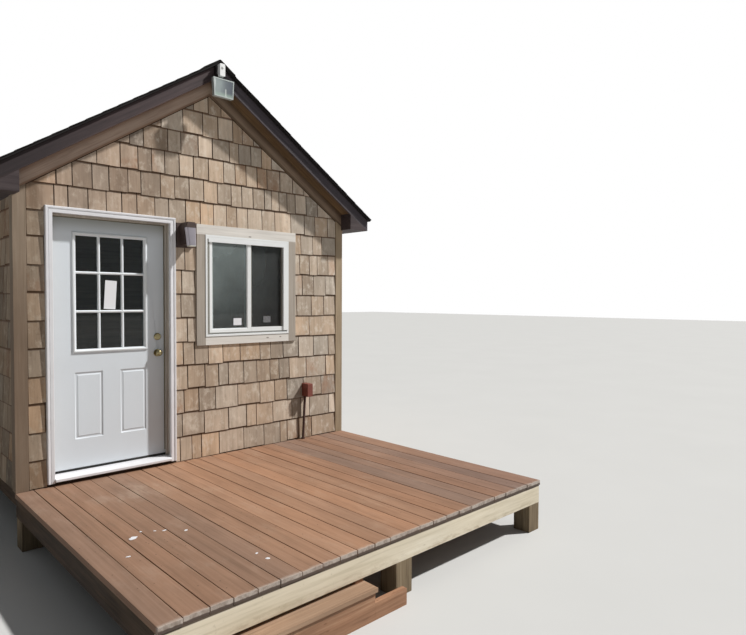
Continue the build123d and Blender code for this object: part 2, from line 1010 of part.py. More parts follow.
with BuildPart() as flood_sensor:
    sensor_low = base_low - sensor_drop
    sensor_half = sensor_width / 2
    block(-sensor_half, sensor_half, base_front - sensor_depth, base_front, sensor_low, sensor_low + sensor_height)
    fillet(flood_sensor.edges().filter_by(Axis.Y), sensor_fillet)
finish(flood_sensor, "flood_sensor")

lamp_top = tilt_z - lamp_drop
lamp_low = lamp_top - lamp_height
lamp_front = rake_front - lamp_front_reach
lamp_back = lamp_front + lamp_depth
shell_back = lamp_front + lamp_shell_depth
lens_seat = lamp_front + lens_recess + lens_thickness


def lamp_outline(margin):
    """The lamp's tapered front outline, drawn in by a margin."""
    top_half = lamp_width / 2 - margin
    bottom_half = lamp_bottom_width / 2 - margin
    return [
        (-bottom_half, lamp_low + margin),
        (bottom_half, lamp_low + margin),
        (top_half, lamp_top - margin),
        (-top_half, lamp_top - margin),
    ]


with BuildPart() as flood_lamp:
    prism_xz(lamp_outline(0), lamp_front, shell_back)
    with BuildSketch(Plane.XZ.offset(-shell_back)):
        with BuildLine():
            Polyline(*lamp_outline(0), close=True)
        make_face()
    with BuildSketch(Plane.XZ.offset(-lamp_back)):
        with Locations((0, (lamp_low + lamp_top) / 2)):
            Rectangle(lamp_back_width, lamp_back_height)
    loft(ruled=True)
    prism_xz(lamp_outline(lens_margin), lamp_front, lens_seat, mode=Mode.SUBTRACT)
    block(
        -tilt_lug_half,
        tilt_lug_half,
        tilt_y - tilt_radius,
        tilt_y + tilt_radius,
        lamp_top - lug_root,
        tilt_z,
    )
    with Locations(Location((0, tilt_y, tilt_z), (0, 90, 0))):
        Cylinder(tilt_radius, 2 * tilt_lug_half)
finish(flood_lamp, "flood_lamp")

with BuildPart() as flood_lens:
    prism_xz(lamp_outline(lens_margin), lens_seat - lens_thickness, lens_seat)
finish(flood_lens, "flood_lens")

# Deck: boards over a framed rim with joists, on short posts
deck_base = deck_top - deck_board_thickness
deck_frame_base = deck_base - deck_rim_depth
frame_x = half_width - deck_overhang
frame_front = deck_front + deck_overhang
with BuildPart() as deck_boards:
    block(-half_width, half_width, deck_front, front_wall, deck_base, deck_top)
finish(deck_boards, "deck_boards")

rim_back = front_wall - deck_rim_thickness
with BuildPart() as deck_rim_boards:
    for y_low in (frame_front, rim_back):
        block(-frame_x, frame_x, y_low, y_low + deck_rim_thickness, deck_frame_base, deck_base)
finish(deck_rim_boards, "deck_rim_boards")

with BuildPart() as deck_side_boards:
    for side in (-1, 1):
        x_low, x_high = sorted((side * (frame_x - deck_rim_thickness), side * frame_x))
        block(x_low, x_high, frame_front + deck_rim_thickness, rim_back, deck_frame_base, deck_base)
finish(deck_side_boards, "deck_side_boards")

deck_bays = round(deck_depth / joist_spacing)
deck_joist_places = spread(deck_bays + 1, frame_front, rim_back)[1:-1]
with BuildPart() as deck_joists:
    for y_low in deck_joist_places:
        block(
            deck_rim_thickness - frame_x,
            frame_x - deck_rim_thickness,
            y_low,
            y_low + deck_rim_thickness,
            deck_frame_base,
            deck_base,
        )
finish(deck_joists, "deck_joists")

post_half = deck_post_size / 2
post_xs = spread(deck_post_columns, post_half - frame_x, frame_x - post_half)
post_ys = spread(deck_post_rows, frame_front + post_half, front_face - post_half)
with BuildPart() as deck_posts:
    with Locations(*[(x, y, deck_frame_base / 2) for x in post_xs for y in post_ys]):
        Box(deck_post_size, deck_post_size, deck_frame_base)
finish(deck_posts, "deck_posts")

# Box step: two tread boards on a low frame, with two packing blocks that tie it to the
# underside of the deck's front rim, and a base plank that runs on past the treads
step_top = deck_top - step_rise
step_left = door_centre - step_width / 2
step_right = door_centre + step_width / 2
step_front = deck_front - step_reach
tread_base = step_top - step_board_thickness
with BuildPart() as step_treads:
    for count in range(2):
        board_front = step_front + count * (step_board_width + step_board_gap)
        block(step_left, step_right, board_front, board_front + step_board_width, tread_base, step_top)
finish(step_treads, "step_treads")

box_front = step_front + step_overhang
box_back = step_front + 2 * step_board_width + step_board_gap - step_overhang
box_left = step_left + step_overhang
box_right = step_right - step_overhang
with BuildPart() as step_frame:
    for y_low in (box_front, box_back - deck_rim_thickness):
        block(box_left, box_right, y_low, y_low + deck_rim_thickness, 0, tread_base)
    for x_low in (box_left, box_right - step_packer_length):
        block(
            x_low,
            x_low + step_packer_length,
            frame_front + step_packer_inset,
            frame_front + deck_rim_thickness,
            step_top,
            deck_frame_base,
        )
finish(step_frame, "step_frame")

with BuildPart() as step_ends:
    for x_low in (box_left, box_right - deck_rim_thickness):
        block(
            x_low,
            x_low + deck_rim_thickness,
            box_front + deck_rim_thickness,
            box_back - deck_rim_thickness,
            0,
            tread_base,
        )
finish(step_ends, "step_ends")

with BuildPart() as step_base_plank:
    block(
        box_right,
        step_right + plank_reach,
        box_front,
        box_front + deck_rim_thickness,
        0,
        plank_height,
    )
finish(step_base_plank, "step_base_plank")
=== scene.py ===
import math
import random
from functools import partialmethod, reduce

import bmesh
import bpy
from mathutils import Matrix, Vector


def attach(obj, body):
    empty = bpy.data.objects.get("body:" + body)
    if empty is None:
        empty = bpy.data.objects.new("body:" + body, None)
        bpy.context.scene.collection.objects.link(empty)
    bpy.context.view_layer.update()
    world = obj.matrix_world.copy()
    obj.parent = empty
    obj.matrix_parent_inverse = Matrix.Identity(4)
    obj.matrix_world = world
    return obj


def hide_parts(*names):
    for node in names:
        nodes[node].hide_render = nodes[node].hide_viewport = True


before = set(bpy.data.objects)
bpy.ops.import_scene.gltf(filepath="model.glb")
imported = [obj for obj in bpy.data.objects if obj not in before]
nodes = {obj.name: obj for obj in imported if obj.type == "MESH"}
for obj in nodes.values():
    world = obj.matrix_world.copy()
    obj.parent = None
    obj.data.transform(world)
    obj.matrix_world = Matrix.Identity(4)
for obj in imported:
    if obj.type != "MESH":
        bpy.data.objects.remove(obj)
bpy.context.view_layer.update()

UP = Vector((0, 0, 1))
EAST = Vector((1, 0, 0))
NORTH = Vector((0, 1, 0))

# Planes, heights and the roof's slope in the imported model, in metres
WALL_X = 1.551
FRONT_FACE = -0.6575
FRONT_WALL = -0.6385
BACK_WALL = 2.9835
DECK_TOP = 0.393
PITCH = 8 / 12
SLOPE = math.atan(PITCH)
ALONG, RISE = math.cos(SLOPE), math.sin(SLOPE)
RIDGE = 3.915002
RAKE_FRONT = -0.8125
ROOF_FRONT = -0.8525
ROOF_BACK = 3.1975
ROOF_X = 1.827
FRIEZE_DEPTH = 0.218

# Knots in the window's head and apron boards: x, height and half length
BOARD_KNOTS = ((0.608, 1.452, 0.02), (0.758, 1.456, 0.015), (0.411, 2.419, 0.02))
KNOT_HALF_HEIGHT = 0.007

# Nails in the frieze: heights over its lower edge, and where their marks fade, as squares of a distance
NAIL_HEIGHTS = (0.028, 0.078)
NAIL_REACH = (0.00001, 0.00003)

# Materials by name
M = {}


def roof_height(x, depth):
    """Height at x of a plane that lies a depth square below the roof's top face."""
    return RIDGE - abs(x) * PITCH - depth / ALONG


def srgb(red, green, blue):
    """Linear colour for an sRGB colour given in 0 to 255."""
    parts = []
    for value in (red, green, blue):
        value = value / 255
        parts.append(value / 12.92 if value <= 0.04045 else ((value + 0.055) / 1.055) ** 2.4)
    return (*parts, 1.0)


class Graph:
    """A node tree of a material or of the world, with short calls for the nodes that this scene uses."""

    def __init__(self, owner, output="ShaderNodeOutputMaterial"):
        owner.use_nodes = True
        self.tree = owner.node_tree
        self.tree.nodes.clear()
        self.output = self.add(output)

    def add(self, kind, **settings):
        node = self.tree.nodes.new(kind)
        for key, value in settings.items():
            setattr(node, key, value)
        return node

    def feed(self, socket, value):
        """Sets a socket's number or colour, or links an output to it."""
        if isinstance(value, bpy.types.NodeSocket):
            self.tree.links.new(value, socket)
        else:
            socket.default_value = value

    def fill(self, node, *values):
        """Feeds a node's first sockets in their order, and gives its first output."""
        for socket, value in zip(node.inputs, values):
            self.feed(socket, value)
        return node.outputs[0]

    def fed(self, kind, **sockets):
        """A new node with its sockets fed by name, where an underscore stands for a blank."""
        node = self.add(kind)
        for key, value in sockets.items():
            self.feed(node.inputs[key.replace("_", " ")], value)
        return node

    def end(self, shader):
        self.feed(self.output.inputs[0], shader)

    def maths(self, operation, first, second=0.0, third=0.0):
        return self.fill(self.add("ShaderNodeMath", operation=operation), first, second, third)

    times = partialmethod(maths, "MULTIPLY")
    plus = partialmethod(maths, "ADD")
    minus = partialmethod(maths, "SUBTRACT")
    ratio = partialmethod(maths, "DIVIDE")
    most = partialmethod(maths, "MAXIMUM")
    below = partialmethod(maths, "LESS_THAN")
    beyond = partialmethod(maths, "GREATER_THAN")
    absolute = partialmethod(maths, "ABSOLUTE")

    def squares(self, first, second):
        return self.plus(self.times(first, first), self.times(second, second))

    def span(self, value, low, high, to_low=0.0, to_high=1.0, smooth=True):
        """value from low..high to to_low..to_high, clamped."""
        node = self.add("ShaderNodeMapRange", interpolation_type="SMOOTHSTEP" if smooth else "LINEAR")
        return self.fill(node, value, low, high, to_low, to_high)

    def fade(self, value, low, high, smooth=True):
        """1 up to low, falling to 0 at high."""
        return self.span(value, low, high, 1.0, 0.0, smooth)

    def mix(self, factor, first, second, blend="MIX"):
        node = self.add("ShaderNodeMix", data_type="RGBA", blend_type=blend)
        for number, value in ((0, factor), (6, first), (7, second)):
            self.feed(node.inputs[number], value)
        return node.outputs[2]

    def stain(self, colour, mask, strength, tone):
        """The colour, mixed with an sRGB tone as far as the mask and the strength say."""
        return self.mix(self.times(mask, strength), colour, srgb(*tone))

    def tinted(self, factor, colour, tint):
        """The colour multiplied by a tint, as far as the factor says."""
        return self.mix(factor, colour, self.mix(1.0, colour, (*tint, 1.0), "MULTIPLY"))

    def toned(self, colour, tone):
        """The colour multiplied by a varying number."""
        grey = self.fill(self.add("ShaderNodeCombineColor"), tone, tone, tone)
        return self.mix(1.0, colour, grey, "MULTIPLY")

    def scaled(self, vector, stretch):
        """A vector times a triple or a single number."""
        if isinstance(stretch, float):
            stretch = (stretch, stretch, stretch)
        return self.fill(self.add("ShaderNodeVectorMath", operation="MULTIPLY"), vector, stretch)

    def noise(self, vector, stretch, detail, rough=0.6, distortion=0.0):
        node = self.fed("ShaderNodeTexNoise", Vector=self.scaled(vector, stretch), Scale=1.0, Detail=detail,
                        Roughness=rough, Distortion=distortion)
        return node.outputs["Fac"]

    def cells(self, vector, stretch, out="Distance"):
        node = self.fed("ShaderNodeTexVoronoi", Vector=self.scaled(vector, stretch), Scale=1.0)
        return node.outputs[out]

    def parts(self, vector):
        node = self.add("ShaderNodeSeparateXYZ")
        self.feed(node.inputs[0], vector)
        return node.outputs

    def place(self):
        return self.add("ShaderNodeTexCoord").outputs["Object"]

    def here(self):
        """X, Y and Z of the place."""
        return self.parts(self.place())

    def facing(self, kind):
        """X, Y and Z of the surface's normal of a kind."""
        return self.parts(self.add("ShaderNodeNewGeometry").outputs[kind])

    def attribute(self, name, out="Vector"):
        return self.add("ShaderNodeAttribute", attribute_name=name).outputs[out]

    def tint(self):
        """Tone, hue and blemish of a made piece's solids."""
        node = self.add("ShaderNodeSeparateColor")
        self.feed(node.inputs[0], self.attribute("tint", "Color"))
        return node.outputs

    def bump(self, height, distance, strength=1.0):
        return self.fed("ShaderNodeBump", Height=height, Distance=distance, Strength=strength).outputs[0]

    def shade(self, colour, rough, **sockets):
        """Ends the tree in a Principled shader."""
        node = self.fed("ShaderNodeBsdfPrincipled", Base_Color=colour, Roughness=rough, **sockets)
        self.end(node.outputs[0])


def material_graph(name):
    """The graph of a new material, which goes into M under its name."""
    M[name] = bpy.data.materials.new(name)
    return Graph(M[name])


def grained(g, along):
    """Coordinates with X along the fibres: a piece's own, the frame's axes turned, or the roof's slopes."""
    if along == "own":
        return g.attribute("grain")
    if along == "slope":
        place = g.here()
        out = g.absolute(place[0])
        down = g.maths("MULTIPLY_ADD", out, ALONG, g.times(place[2], -RISE))
        height = g.maths("MULTIPLY_ADD", out, RISE, g.times(place[2], ALONG))
        return g.fill(g.add("ShaderNodeCombineXYZ"), down, place[1], height)
    turn = {"X": (0, 0, 0), "Y": (0, 0, -math.pi / 2), "Z": (0, math.pi / 2, 0)}[along]
    return g.fed("ShaderNodeMapping", Vector=g.place(), Rotation=turn).outputs[0]


def timber(name, tones, along="own", fine=60.0, length=2.2, rough=0.75, relief=0.0006, blotch=0.14,
           knots=0.0, fleck=0.0, wear=None, warm=(1.16, 0.93, 0.74), cool=(0.95, 1.0, 1.07), blemish=None):
    """Wood from three sRGB tones, with knots and flecks, and on a made piece each board's own tint."""
    g = material_graph(name)
    dark, mid, light = (srgb(*tone) for tone in tones)
    grain = grained(g, along)
    fibres = g.noise(grain, (length, fine, fine), 5.0, 0.62, 0.15)
    broad = g.noise(grain, (length * 0.35, fine * 0.16, fine * 0.16), 3.0, 0.55)
    cloud = g.noise(grain, (2.1, 7.0, 7.0), 4.0, 0.6)
    height = g.plus(g.times(fibres, 0.62), g.times(broad, 0.38))
    colour = g.mix(g.span(height, 0.36, 0.52), dark, mid)
    colour = g.mix(g.span(height, 0.5, 0.66), colour, light)
    if knots:
        spot = g.fade(g.cells(grain, (4.2, 13.0, 13.0)), 0.03 * knots, 0.13 * knots)
        colour = g.mix(g.times(spot, 0.75), colour, dark)
        height = g.minus(height, g.times(spot, 0.3))
    if fleck:
        dots = g.noise(grain, (60.0, 190.0, 190.0), 2.0, 0.5)
        colour = g.mix(g.times(g.span(dots, 0.66, 0.76), fleck), colour, dark)
    tone = g.span(cloud, 0.25, 0.75, 1.0 - blotch, 1.0 + blotch)
    if along == "own":
        tint = g.tint()
        tone = g.times(tone, g.times(tint[0], 2.0))
        colour = g.tinted(g.span(tint[1], 0.5, 1.0, smooth=False), colour, warm)
        colour = g.tinted(g.fade(tint[1], 0.0, 0.5, smooth=False), colour, cool)
        if blemish is not None:
            patch = g.noise(grain, (5.0, 9.0, 9.0), 5.0, 0.7)
            colour = g.mix(g.times(g.span(patch, 0.42, 0.66), tint[2]), colour, srgb(*blemish))
    colour = g.toned(colour, tone)
    if wear is not None:
        colour = wear(g, colour, grain)
    roughness = g.span(broad, 0.3, 0.7, rough - 0.08, min(1.0, rough + 0.08))
    g.shade(colour, roughness, Normal=g.bump(height, relief), Specular_IOR_Level=0.35)


def paint(name, tone, rough, grime, relief=0.00015, dirt=(0.25, 0.22, 0.19, 1), specular=0.45, wear=None):
    """Smooth paint, plastic or vinyl with brush texture and a little dirt."""
    g = material_graph(name)
    place = g.place()
    brush = g.noise(place, (180.0, 180.0, 40.0), 3.0, 0.5)
    cloud = g.noise(place, 3.0, 5.0, 0.65)
    spots = g.noise(place, 38.0, 3.0, 0.6)
    dirty = g.times(g.span(cloud, 0.42, 0.74), grime)
    dirty = g.plus(dirty, g.times(g.span(spots, 0.66, 0.8), grime * 0.8))
    colour = g.mix(dirty, srgb(*tone), dirt)
    if wear is not None:
        colour = wear(g, colour)
    roughness = g.span(cloud, 0.3, 0.7, rough - 0.06, rough + 0.1)
    g.shade(colour, roughness, Normal=g.bump(brush, relief), Specular_IOR_Level=specular)


def metal(name, tone, rough, metallic, dull, worn):
    """Metal with fine scratches and dull patches."""
    g = material_graph(name)
    place = g.place()
    fine = g.noise(place, (300.0, 300.0, 90.0), 3.0, 0.6)
    cloud = g.noise(place, 24.0, 5.0, 0.65)
    colour = g.mix(g.times(g.span(cloud, 0.48, 0.72), worn), srgb(*tone), dull)
    roughness = g.plus(g.span(cloud, 0.3, 0.7, rough - 0.06, rough + 0.14), g.times(fine, 0.06))
    g.shade(colour, roughness, Normal=g.bump(fine, 0.0001), Metallic=metallic)


def glass(name, tone, film_and_reflection=None):
    """Clear flat glass, or glass with a film of dust and painted reflection. film_and_reflection gives its
    colour and how clear it is.
    """
    g = material_graph(name)
    colour, clear = srgb(*tone), 1.0
    ripple = g.noise(g.place(), 1.3, 1.0, 0.4)
    if film_and_reflection is not None:
        colour, clear = film_and_reflection(g, colour)
    g.shade(colour, 0.015, Normal=g.bump(ripple, 0.004, 0.12), Transmission_Weight=clear, IOR=1.45)


def shingle_wear_and_shade(g, colour, grain):
    """Water marks, pale and dull patches, a bleached right, a darker left that is partly painted shade, and
    a painted shadow under each course's butt.
    """
    edge = g.attribute("edge", "Fac")
    stain = g.noise(grain, (9.0, 30.0, 30.0), 4.0, 0.7)
    low = g.times(g.fade(edge, 0.0, 0.35), g.span(stain, 0.42, 0.72, 0.0, 0.3))
    colour = g.mix(low, colour, srgb(128, 110, 92))
    pale = g.noise(grain, (11.0, 16.0, 16.0), 5.0, 0.7)
    colour = g.mix(g.span(pale, 0.48, 0.72, 0.0, 0.6), colour, srgb(214, 203, 187))
    dull = g.noise(grain, (14.0, 20.0, 20.0), 5.0, 0.75)
    colour = g.mix(g.span(dull, 0.54, 0.76, 0.0, 0.45), colour, srgb(128, 106, 87))
    x, y, z = g.here()
    bleached = g.most(g.span(x, 0.5, 1.1), g.span(z, 2.8, 3.2, 0.0, 0.5))
    colour = g.tinted(g.times(bleached, g.below(y, -0.6)), colour, (1.1, 1.14, 1.18))
    gable = g.times(g.fade(x, -0.9, -0.1), g.span(z, 2.45, 2.55))
    colour = g.tinted(g.times(gable, g.below(y, -0.6)), colour, (0.84, 0.79, 0.77))
    # Darker at the cabin's left corner and on the left wall: partly the shingles' own tone, partly painted
    # shade
    darker_left = g.times(g.fade(x, -1.42, -1.33), g.fade(y, -0.6, 2.5))
    colour = g.tinted(darker_left, colour, (0.58, 0.55, 0.51))
    # Painted shadow: a dark brown band just under the butt of the course above
    return g.stain(colour, g.span(edge, 0.895, 0.955), 0.85, (88, 64, 46))


def corner_tones_and_shade(g, colour, grain):
    """Bleached corner boards on the right. The left ones are darker, most of all low down: partly their own
    darker tone, partly painted shade.
    """
    x, y, z = g.here()
    high = g.tinted(1.0, colour, (0.84, 0.86, 0.94))
    low = g.tinted(1.0, colour, (0.59, 0.56, 0.58))
    dark = g.mix(g.span(z, 1.5, 2.4), low, high)
    return g.mix(g.fade(x, -1.3, -1.2), g.tinted(1.0, colour, (1.14, 1.17, 1.18)), dark)


def frame_shadow_line(g, colour, grain):
    """A painted shadow line in the joint round the window's frame, on its left and under it."""
    x, y, z = g.here()
    left = g.times(g.span(x, -0.062, -0.056), g.fade(x, 0.0, 0.01))
    left = g.times(left, g.span(z, 1.474, 1.479))
    left = g.times(left, g.fade(z, 2.4, 2.404))
    low = g.times(g.span(z, 1.474, 1.479), g.fade(z, 1.6, 1.61))
    inside = g.times(g.span(x, -0.057, -0.054), g.fade(x, 0.858, 0.861))
    return g.stain(colour, g.most(left, g.times(low, inside)), 0.75, (92, 86, 76))


def board_marks(g, colour, grain):
    """Small dark knots in the boards over and under the window, and the painted shadow line in the joint.
    """
    x, y, z = g.here()
    marks = []
    for knot_x, knot_z, half_length in BOARD_KNOTS:
        across = g.ratio(g.minus(x, knot_x), half_length)
        rise = g.ratio(g.minus(z, knot_z), KNOT_HALF_HEIGHT)
        marks.append(g.fade(g.squares(across, rise), 0.2, 1.0))
    colour = g.stain(colour, reduce(g.most, marks), 0.75, (92, 78, 68))
    return frame_shadow_line(g, colour, grain)


def door_top_shade(g, colour):
    """Painted shade along the door's top, close under the frame."""
    return g.mix(g.span(g.here()[2], 2.32, 2.47, 0.0, 0.85), colour, srgb(146, 149, 144))


def deck_wear(g, colour, grain):
    """Scuffs, a worn path at the door, grime, specks, and pale broken plank ends with brown end faces."""
    x, y, z = g.here()
    place = g.place()
    scuff = g.noise(place, (5.0, 2.2, 5.0), 6.0, 0.72)
    colour = g.stain(colour, g.span(scuff, 0.5, 0.74), 0.3, (178, 152, 130))
    across = g.ratio(g.minus(x, -0.9), 0.4)
    back = g.ratio(g.minus(y, -1.22), 0.3)
    path = g.times(g.fade(g.squares(across, back), 0.0, 1.0), g.span(scuff, 0.4, 0.66))
    colour = g.stain(colour, path, 0.35, (190, 166, 144))
    grime = g.noise(place, (14.0, 3.0, 5.0), 5.0, 0.7)
    colour = g.stain(colour, g.span(grime, 0.6, 0.82), 0.35, (104, 76, 58))
    specks = g.cells(place, (21.0, 17.0, 17.0))
    colour = g.stain(colour, g.fade(specks, 0.05, 0.09), 0.7, (70, 48, 38))
    # Darker towards the left, greyer towards the right, and darker at the front right corner
    colour = g.tinted(g.fade(x, -1.1, -0.4), colour, (0.82, 0.86, 0.92))
    colour = g.tinted(g.span(x, 0.1, 1.2), colour, (0.87, 0.93, 1.04))
    corner = g.times(g.span(x, 0.7, 1.4), g.fade(y, -2.8, -1.4))
    colour = g.tinted(corner, colour, (0.86, 0.86, 0.9))
    nick = g.noise(place, (17.0, 9.0, 17.0), 6.0, 0.8)
    end = g.plus(g.times(nick, 0.09), y)
    pale = g.times(g.fade(end, -3.058, -3.026), g.span(nick, 0.34, 0.56, 0.35, 1.0))
    colour = g.stain(colour, pale, 0.72, (190, 182, 174))
    height = g.plus(z, g.times(nick, 0.012))
    rough_end = g.mix(g.span(nick, 0.35, 0.65), srgb(138, 124, 114), srgb(182, 172, 162))
    rough_end = g.mix(g.fade(height, 0.374, 0.38), rough_end, srgb(70, 57, 50))
    return g.mix(g.times(g.below(g.facing("True Normal")[1], -0.5), 0.9), colour, rough_end)


def skin(half_width, front, back, tone):
    """A tone for whatever lies outside a half width, a front and a back."""
    def wear(g, colour, grain):
        x, y, z = g.here()
        outside = g.most(g.beyond(g.absolute(x), half_width), g.below(y, front))
        return g.mix(g.most(outside, g.beyond(y, back)), colour, srgb(*tone))
    return wear


def rake_wear_and_shade(g, colour, grain):
    """A worn edge along the rake boards' bottom, a dark line under the shingles that is partly painted
    shade, and a darker left foot.
    """
    across = g.parts(grain)[2]
    top = RIDGE * ALONG
    worn = g.noise(grain, (3.0, 20.0, 20.0), 4.0, 0.7)
    low = g.fade(g.plus(across, g.times(worn, 0.016)), top - 0.114, top - 0.098)
    colour = g.stain(colour, low, 0.4, (104, 90, 86))
    x = g.here()[0]
    colour = g.tinted(g.fade(x, -1.45, -0.85), colour, (0.5, 0.5, 0.52))
    colour = g.tinted(g.span(x, -0.1, 0.1), colour, (1.02, 1.16, 1.28))
    colour = g.tinted(g.fade(x, -0.1, 0.1), colour, (0.88, 0.77, 0.75))
    # Dark line under the shingles' edge: partly painted shade under their overhang
    return g.stain(colour, g.span(across, top - 0.038, top - 0.026), 0.7, (44, 36, 36))


def frieze_nails_and_shade(g, colour, grain):
    """Nail marks in pairs along the frieze, painted shade on its upper and lower edges, painted light on
    the left slope and painted shade on the right.
    """
    down, y, square = g.parts(grain)
    across = g.minus(square, RIDGE * ALONG - FRIEZE_DEPTH)
    step = g.minus(g.maths("MODULO", down, 0.41), 0.2)
    marks = [g.fade(g.squares(step, g.minus(across, height)), *NAIL_REACH) for height in NAIL_HEIGHTS]
    colour = g.stain(colour, reduce(g.most, marks), 0.75, (48, 38, 32))
    # Left slope: painted shade at the upper and lower edges, then the whole lightened as painted sunlight
    left = g.tinted(g.span(across, 0.06, 0.104), colour, (0.62, 0.54, 0.5))
    left = g.tinted(g.fade(across, 0.008, 0.022), left, (0.62, 0.52, 0.44))
    left = g.tinted(1.0, left, (1.36, 1.36, 1.56))
    # Right slope: painted shade at the upper and lower edges, and the whole darkened as painted shade under
    # the rake
    right = g.tinted(g.span(across, 0.04, 0.1), colour, (0.45, 0.4, 0.34))
    right = g.tinted(g.fade(across, 0.01, 0.026), right, (0.52, 0.48, 0.44))
    right = g.tinted(1.0, right, (0.8, 0.77, 0.78))
    return g.mix(g.span(g.here()[0], -0.08, 0.08), left, right)


def pane_dust_and_reflection(g, colour):
    """Dust on the window's panes with a painted sky reflection, thicker at the top of the left one: its
    colour, and what stays clear.
    """
    x, y, z = g.here()
    smear = g.noise(g.place(), (2.0, 2.0, 1.2), 4.0, 0.6)
    film = g.times(g.span(z, 1.55, 2.32, 0.12, 1.15), g.span(smear, 0.35, 0.65, 0.6, 1.0))
    film = g.times(film, g.span(x, 0.02, 0.37, 1.25, 0.8))
    film = g.times(film, g.span(x, 0.4, 0.42, 0.42, 0.75, smooth=False))
    film = g.times(film, g.span(x, 0.43, 0.8, 0.95, 0.5))
    return g.mix(film, colour, srgb(150, 166, 166)), g.minus(1.0, film)


def lantern_sides_painted_light(g, colour):
    """Painted light: the lantern's glass is paler at its sides, which evens out their shade."""
    side = g.span(g.absolute(g.facing("Normal")[0]), 0.35, 0.9)
    return g.mix(side, colour, srgb(214, 209, 220))


def rim_wear_and_shade(g, colour, grain):
    """Mud splashes low on the cream rim, a dark painted shadow line under the planks, and a dark back."""
    x, y, z = g.here()
    place = g.place()
    splash = g.noise(place, (9.0, 9.0, 26.0), 5.0, 0.7)
    colour = g.mix(g.beyond(y, -1.0), colour, srgb(62, 50, 40))
    low = g.times(g.fade(z, 0.215, 0.285), g.span(splash, 0.45, 0.7))
    colour = g.stain(colour, low, 0.55, (150, 130, 100))
    spots = g.noise(place, (30.0, 30.0, 22.0), 3.0, 0.6)
    colour = g.stain(colour, g.span(spots, 0.64, 0.76), 0.35, (150, 136, 112))
    # Painted shadow line along the rim's top, under the planks' edge
    return g.mix(g.span(z, 0.343, 0.349), colour, srgb(84, 72, 60))


def flood_glass(name):
    """Ribbed glass over a reflector, with painted reflections: dull and bluish to one side, pale at the
    foot, with the tube's end and a painted highlight along one edge.
    """
    g = material_graph(name)
    x, y, z = g.parts(g.add("ShaderNodeTexCoord").outputs["Generated"])
    ribs = g.noise(g.place(), (60.0, 60.0, 420.0), 3.0, 0.6)
    cloud = g.noise(g.place(), (14.0, 14.0, 10.0), 4.0, 0.65)
    # Painted reflections: bluish to one side, pale at the foot
    side = g.span(g.plus(x, g.times(cloud, 0.4)), 0.35, 1.05)
    colour = g.mix(side, srgb(158, 168, 168), srgb(104, 110, 118))
    colour = g.mix(g.span(z, 0.0, 0.3, 0.8, 0.0), colour, srgb(168, 186, 174))
    tube = g.times(g.fade(g.absolute(g.minus(x, 0.6)), 0.02, 0.045), g.fade(z, 0.42, 0.52))
    colour = g.stain(colour, tube, 0.7, (214, 220, 216))
    # Painted highlight along the glass's left edge
    glint = g.times(g.fade(x, 0.04, 0.1), g.span(z, 0.25, 0.75))
    colour = g.stain(colour, glint, 0.7, (226, 230, 228))
    g.shade(colour, 0.1, Normal=g.bump(ribs, 0.0004), Specular_IOR_Level=0.8)


def granules(name, dark, mid, light):
    """Asphalt shingle: mineral granules over a tone for each tab."""
    g = material_graph(name)
    grain = g.attribute("grain")
    fine = g.parts(g.cells(grain, 420.0, "Color"))[0]
    cloud = g.noise(grain, 9.0, 5.0, 0.65)
    colour = g.mix(g.span(fine, 0.1, 0.9), dark, light)
    colour = g.mix(0.55, colour, mid)
    tone = g.times(g.span(cloud, 0.3, 0.7, 0.82, 1.14), g.times(g.tint()[0], 2.0))
    g.shade(g.toned(colour, tone), 0.93, Normal=g.bump(fine, 0.0008), Specular_IOR_Level=0.3)


def masonry(name):
    """Cast concrete block with pores and stains."""
    g = material_graph(name)
    place = g.place()
    sand = g.noise(place, 160.0, 5.0, 0.7)
    stain = g.noise(place, (3.0, 3.0, 5.0), 5.0, 0.65)
    colour = g.mix(sand, srgb(132, 130, 124), srgb(178, 176, 170))
    colour = g.stain(colour, g.span(stain, 0.45, 0.75), 0.5, (112, 104, 90))
    hole = g.fade(g.cells(place, 75.0), 0.1, 0.24)
    colour = g.stain(colour, hole, 0.5, (80, 78, 74))
    g.shade(colour, 0.93, Normal=g.bump(g.minus(sand, g.times(hole, 0.8)), 0.002))


SHEATHING = ((150, 122, 88), (182, 154, 116), (204, 178, 140))
timber("weathered_shingle", ((162, 145, 127), (176, 158, 139), (188, 171, 153)), fine=38.0, rough=0.88,
       relief=0.0008, blotch=0.12, knots=0.5, wear=shingle_wear_and_shade, warm=(1.06, 0.965, 0.87),
       cool=(0.91, 0.955, 1.0), blemish=(156, 116, 88))
# Shingles' sides and butts: darker end grain, darkened further as painted shade in the butt lines and gaps
timber("shingle_butt", ((82, 56, 38), (102, 72, 50), (120, 88, 64)), fine=200.0, length=20.0, rough=0.95,
       relief=0.0008, blotch=0.3)
timber("deck_plank", ((141, 107, 83), (152, 116, 91), (160, 124, 99)), length=1.0, rough=0.85,
       relief=0.0004, blotch=0.11, fleck=0.2, wear=deck_wear, warm=(1.07, 0.93, 0.8),
       cool=(0.85, 0.93, 1.04))
timber("step_plank", ((130, 102, 80), (156, 127, 103), (172, 143, 118)), "X", length=1.6, rough=0.8,
       relief=0.0005, blotch=0.12, fleck=0.4)
timber("taupe_board", ((134, 116, 93), (148, 129, 106), (158, 140, 117)), "Z", fine=70.0, blotch=0.1,
       knots=0.5, fleck=0.4, wear=corner_tones_and_shade)
timber("taupe_slope_board", ((136, 117, 98), (152, 133, 112), (162, 144, 122)), "slope", fine=70.0,
       blotch=0.1, knots=0.5, fleck=0.3, wear=frieze_nails_and_shade)
timber("window_side_board", ((151, 142, 131), (164, 155, 144), (173, 164, 153)), "Z", fine=70.0, rough=0.7,
       blotch=0.07, knots=0.4, fleck=0.3, wear=frame_shadow_line)
